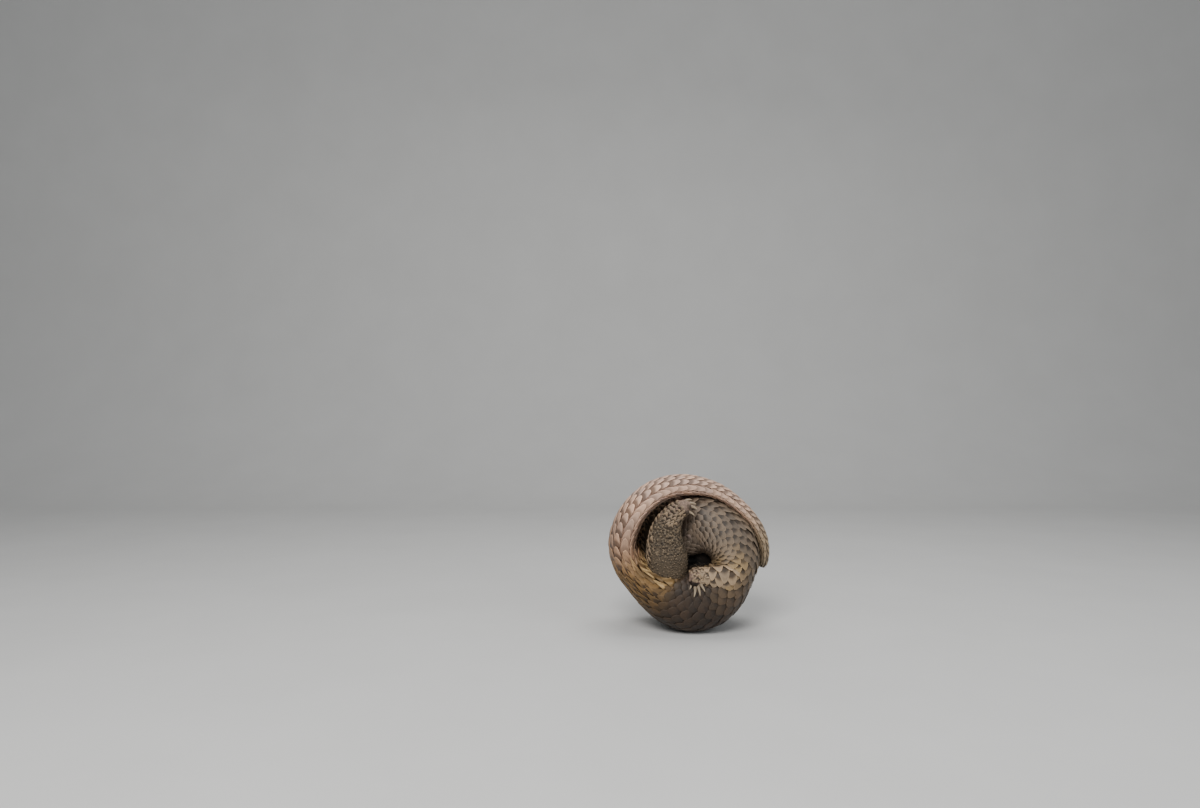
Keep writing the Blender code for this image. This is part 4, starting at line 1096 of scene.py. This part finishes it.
# %% Claws
def claw_points(root, tip, bow, radius, rings=16, sides=14):
    """A cone along a parabola: centre = root + way t + bow 4t(1 - t); radius (1 - t)^0.65."""
    t = np.linspace(0, 1, rings)[:, None]
    way = tip - root
    lift = np.cross(unit(way), np.array([0.0, 1.0, 0.0])) * bow
    line = root + way * t + lift * 4 * t * (1 - t)
    ways = unit(np.gradient(line, axis=0))
    first = unit(np.cross(ways, (0.0, 1.0, 0.0)))
    second = np.cross(ways, first)
    size = radius * np.maximum(1 - t, 0.0) ** 0.65 + 0.00008
    turn = np.linspace(0, 2 * np.pi, sides, endpoint=False)
    ring = np.cos(turn)[:, None] * first[:, None, :] * 1.1 + np.sin(turn)[:, None] * second[:, None, :] * 0.85
    return line[:, None, :] + size[..., None] * ring


claw_parts = []
for side_name, mirror in SIDES:
    for kind, table in (("hind", HIND_CLAWS), ("fore", FORE_CLAWS)):
        for root, tip, bow, radius in table:
            root, tip = claw_ends(root, tip, mirror, leans[kind, side_name])
            claw_parts.append(claw_points(root, tip, bow, radius))
claw_grid = np.array(claw_parts)
each = claw_grid.shape[1] * claw_grid.shape[2]
claw_faces = [[i + each * n for i in face] for n in range(len(claw_grid))
              for face in tube_faces(claw_grid.shape[1], claw_grid.shape[2])]
claw_share = np.tile(np.repeat(np.linspace(0, 1, claw_grid.shape[1]), claw_grid.shape[2]), len(claw_grid))
claws = make_mesh("claws", claw_grid, claw_faces, values={"share": claw_share})
face_outwards(claws)
paint = Paint("claw_horn", Roughness=0.35, Specular_IOR_Level=0.5)
streak = paint.noise(paint.stretch(paint.place(), (300.0, 300.0, 60.0)), 1.0, 3.0)
share = paint.attribute("share")
colour = paint.mix(paint.range(share, 0.1, 0.9), (0.18, 0.13, 0.085), (0.38, 0.30, 0.20))
paint.feed("Base Color", paint.mix(streak * 0.5, colour, (0.20, 0.14, 0.09)))
paint.feed("Roughness", 0.3 + streak * 0.25)
paint.bump(streak, 0.0004, 0.5)
claws.data.materials.append(paint.material)


# %% Hairs
def hair_places(body, pace, start, end, turns, length):
    """Places for hairs over a stretch of a body, unevenly spread, as (s, turn, length)."""
    s, turn, _, _ = leg_grid(body, pace, pace, start, end, turns)
    count = len(s)
    s = s + dice.uniform(-0.5, 0.5, count) * pace
    turn = turn + dice.normal(0, 0.06, count)
    return s, turn, length * dice.uniform(0.55, 1.3, count)


def hair_points(body, s, turn, length):
    """Thin three-sided cones that lean along the body and droop: root + way t + droop t^2."""
    s, turn, length = s[:, None], turn[:, None], length[:, None, None]
    here, along, around, out = body.frame(s, turn)
    count = len(s)
    way = unit(out * 0.40 + unit(along) * 0.90 + dice.normal(0, 0.22, (count, 1, 3)))
    t = np.array([0.0, 0.5, 1.0])[:, None]
    line = here - out * 0.0004 + way * length * t + dice.normal(0, 0.12, (count, 1, 3)) * length * t ** 2
    first = unit(np.cross(way, out))
    second = np.cross(first, way)
    angle = np.radians([0, 120, 240])[:, None]
    size = HAIR_RADIUS * (1 - 0.85 * t)[:, None, :]
    ring = np.cos(angle) * first[:, :, None, :] + np.sin(angle) * second[:, :, None, :]
    return rest(line[:, :, None, :] + size * ring)


HAIR_RADIUS = 0.00011
HAIR_PATCH = 0.003
belly = (math.radians(150), math.radians(210))
hair_beds = [(spine, hair_places(spine, 0.0058, spine_at("neck", 28), spine_at("coil", 225), belly, 0.0060)),
             (spine, hair_places(spine, 0.0032, 0.030, 0.070, (math.radians(100), math.radians(260)), 0.0035))]
for limb in limbs.values():
    hair_beds.append((limb, hair_places(limb, 0.0042, 0.018, limb.length - 0.024,
                                        (math.radians(-150), math.radians(150)), 0.0050)))
hair_grid = np.concatenate([hair_points(body, *bed) for body, bed in hair_beds])
band = np.concatenate([np.full(len(bed[0]), n) for n, (_, bed) in enumerate(hair_beds)])
root_s = np.concatenate([bed[0] / body.length for body, bed in hair_beds])
root_turn = np.concatenate([(bed[1] / (2 * np.pi) + 0.5) % 1 for _, bed in hair_beds])
low_corner, high_corner = np.array(cad_box[0]), np.array(cad_box[1])
inside = np.all((hair_grid > low_corner) & (hair_grid < high_corner), axis=(1, 2, 3))
hair_grid, band, root_s, root_turn = (values[inside] for values in (hair_grid, band, root_s, root_turn))
hair_count = len(hair_grid)
hair_faces = np.array([[0, 1, 4, 3], [1, 2, 5, 4], [2, 0, 3, 5], [3, 4, 7, 6], [4, 5, 8, 7], [5, 3, 6, 8]])
hair_ends = np.array([[2, 1, 0], [6, 7, 8]])
bases = np.arange(hair_count)[:, None, None] * 9
every = (bases + hair_faces).reshape(-1, 4).tolist() + (bases + hair_ends).reshape(-1, 3).tolist()
root_uv = np.stack([(band + 0.05 + 0.9 * root_turn) / len(hair_beds), 0.02 + 0.96 * root_s], axis=1)
within = np.stack(np.meshgrid([-0.5, 0.0, 0.5], [-0.5, 0.0, 0.5]), axis=-1).reshape(9, 2) * HAIR_PATCH
point_uv = (root_uv[:, None, :] + within).reshape(-1, 2)
corner_uv = point_uv[np.concatenate([np.ravel(face) for face in every])]
hairs = make_mesh("hairs", hair_grid, every, {"Strand": corner_uv, "OFBake": corner_uv},
                  {"chance": np.repeat(dice.random(hair_count), 9)})
face_outwards(hairs)
paint = Paint("hair", Roughness=0.55, Specular_IOR_Level=0.35)
fleck = paint.noise(paint.place(), 260.0)
colour = paint.mix(paint.attribute("chance"), (0.10, 0.07, 0.045), (0.36, 0.28, 0.19))
paint.feed("Base Color", paint.mix(fleck * 0.4, colour, (0.08, 0.055, 0.035)))
hairs.data.materials.append(paint.material)
print(hair_count, "hairs")

# %% Eyes and ears
eye_paint = Paint("wet_eye", Roughness=0.08, Coat_Weight=1.0, Coat_Roughness=0.03)
iris = eye_paint.noise(eye_paint.place(), 500.0)
eye_paint.feed("Base Color", eye_paint.mix(iris, (0.012, 0.008, 0.006), (0.030, 0.018, 0.010)))
ear_paint = Paint("ear_skin", Roughness=0.75)
folds = ear_paint.noise(ear_paint.place(), 420.0, 4.0)
ear_paint.feed("Base Color", ear_paint.mix(folds, (0.085, 0.060, 0.046), (0.20, 0.145, 0.115)))
ear_paint.bump(folds, 0.0006, 0.6)
small_parts = []
for side_name, mirror in SIDES:
    where, along, around, out = spine.frame(np.array(EYE_AT), np.array(mirror * EYE_TURN))
    axes = np.array([unit(along), np.cross(out, unit(along)), out])
    eye = make_mesh(f"eye_{side_name}_ball", ball_points(where - out * EYE_RADIUS * 0.58, EYE_RADIUS, axes),
                    tube_faces(24, 32))
    face_outwards(eye)
    eye.data.materials.append(eye_paint.material)
    where, along, around, out = spine.frame(np.array(EAR_AT), np.array(mirror * EAR_TURN))
    axes = np.array([unit(along), np.cross(out, unit(along)), out])
    ear = make_mesh(f"ear_{side_name}_cup", ball_points(where + out * 0.0008, EAR_SIZE, axes), tube_faces(24, 32))
    points = points_of(ear)
    local = (points - where) @ axes.T / EAR_SIZE
    rear = smooth(local[:, 0], -0.9, 0.5)
    points -= out * (np.clip(local[:, 2], 0, 1) * (1 - rear) * EAR_SIZE[2] * 0.9)[:, None]
    hollow = bump_of(np.hypot(local[:, 0] + 0.25, local[:, 1] * 0.9), 0.55) * (local[:, 2] > 0.1)
    points -= out * (hollow * 0.0032)[:, None]
    ear.data.vertices.foreach_set("co", points.ravel())
    face_outwards(ear)
    ear.data.materials.append(ear_paint.material)
    small_parts.append((side_name, eye, ear))

# %% [markdown]
# ## Stand-ins, floor, light and camera
#
# The solids that the pieces stand for are hidden, and each piece hangs on the root. The floor is a pale sweep, the
# light is soft, and the camera looks level from the left side, above the ball, as in the photo.

# %% Hide the solids the pieces stand for
SPINE_NODES = ["head", "neck", "torso_front", "torso_middle", "rump"] + [f"tail_{n}" for n in range(1, 7)]
LIMB_PARTS = ("hind_leg", "hind_foot", "foreleg", "forefoot")
LIMB_NODES = [f"{part}_{side}" for part in LIMB_PARTS for side, _ in SIDES]
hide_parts(*SPINE_NODES, *LIMB_NODES)
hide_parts(*SPINE_NODES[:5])
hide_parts(*SPINE_NODES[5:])
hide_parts(*[node for node in LIMB_NODES if "leg" in node])
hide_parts(*[node for node in LIMB_NODES if "hind_leg" in node])
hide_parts(*[node for node in LIMB_NODES if "foot" in node])
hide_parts(*SPINE_NODES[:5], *LIMB_NODES)
slots = [(skin, "hide"), (body_coat, "scales"), (tail_coat, "scales_pale"), (leg_coat, "scales"),
         (grain_coat, "hide"), (claws, "skin"), (hairs, "hide")]
for side_name, eye, ear in small_parts:
    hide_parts(f"eye_{side_name}")
    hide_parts(f"ear_{side_name}")
    slots += [(eye, "eye"), (ear, "ear_skin")]
for piece, slot_name in slots:
    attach(piece, "root")

# %% Floor
SWEEP_FRONT, SWEEP_BACK, SWEEP_HIGH, SWEEP_WIDE = -3.0, 1.4, 2.6, 4.0
bend = np.linspace(0, math.pi / 2, 24)
profile = np.concatenate([[[SWEEP_FRONT, 0.0]],
                          np.stack([SWEEP_BACK + 0.8 * np.sin(bend), 0.8 - 0.8 * np.cos(bend)], axis=1),
                          [[SWEEP_BACK + 0.8, SWEEP_HIGH]]])
across = np.array([-SWEEP_WIDE, SWEEP_WIDE])
sweep = np.stack([np.broadcast_to(across, (len(profile), 2)), np.broadcast_to(profile[:, :1], (len(profile), 2)),
                  np.broadcast_to(profile[:, 1:], (len(profile), 2))], axis=-1)
quads = [[2 * i, 2 * i + 1, 2 * i + 3, 2 * i + 2] for i in range(len(profile) - 1)]
floor = make_mesh("floor_sweep", sweep, quads)
paint = Paint("pale_floor", Roughness=0.8)
paint.feed("Base Color", paint.mix(paint.noise(paint.place(), 6.0), (0.60, 0.59, 0.57), (0.66, 0.65, 0.63)))
floor.data.materials.append(paint.material)


# %% Light and camera
def area_light(name, place, target, size, power, colour=(1, 1, 1)):
    lamp = bpy.data.lights.new(name, "AREA")
    lamp.energy = power
    lamp.size = size
    lamp.color = colour
    obj = bpy.data.objects.new(name, lamp)
    bpy.context.scene.collection.objects.link(obj)
    way = unit(np.array(target, float) - np.array(place, float))
    back = -way
    right = unit(np.cross((0, 0, 1), back))
    up = np.cross(back, right)
    axes = np.column_stack([right, up, back, place])
    obj.matrix_world = Matrix([*axes.tolist(), (0, 0, 0, 1)])
    return obj


area_light("key", (-0.5, -1.6, 1.5), (0, 0, 0.1), 0.9, 40)
area_light("fill", (1.5, -1.2, 0.9), (0, 0, 0.1), 1.4, 10, (0.92, 0.96, 1.0))
area_light("top", (0.1, 0.3, 1.9), (0, 0, 0.1), 1.2, 14)
world = bpy.data.worlds.new("studio")
world.use_nodes = True
world.node_tree.nodes["Background"].inputs[0].default_value = (0.80, 0.84, 0.88, 1)
world.node_tree.nodes["Background"].inputs[1].default_value = 0.34
bpy.context.scene.world = world
camera = bpy.data.objects.new("camera", bpy.data.cameras.new("camera"))
bpy.context.scene.collection.objects.link(camera)
camera.data.sensor_width = 36.0
camera.data.lens = 36.0 * 866 / 1200
camera.location = (-0.1334 + COIL_X, -1.256, 0.322)
camera.rotation_euler = (math.pi / 2, 0, 0)
bpy.context.scene.camera = camera
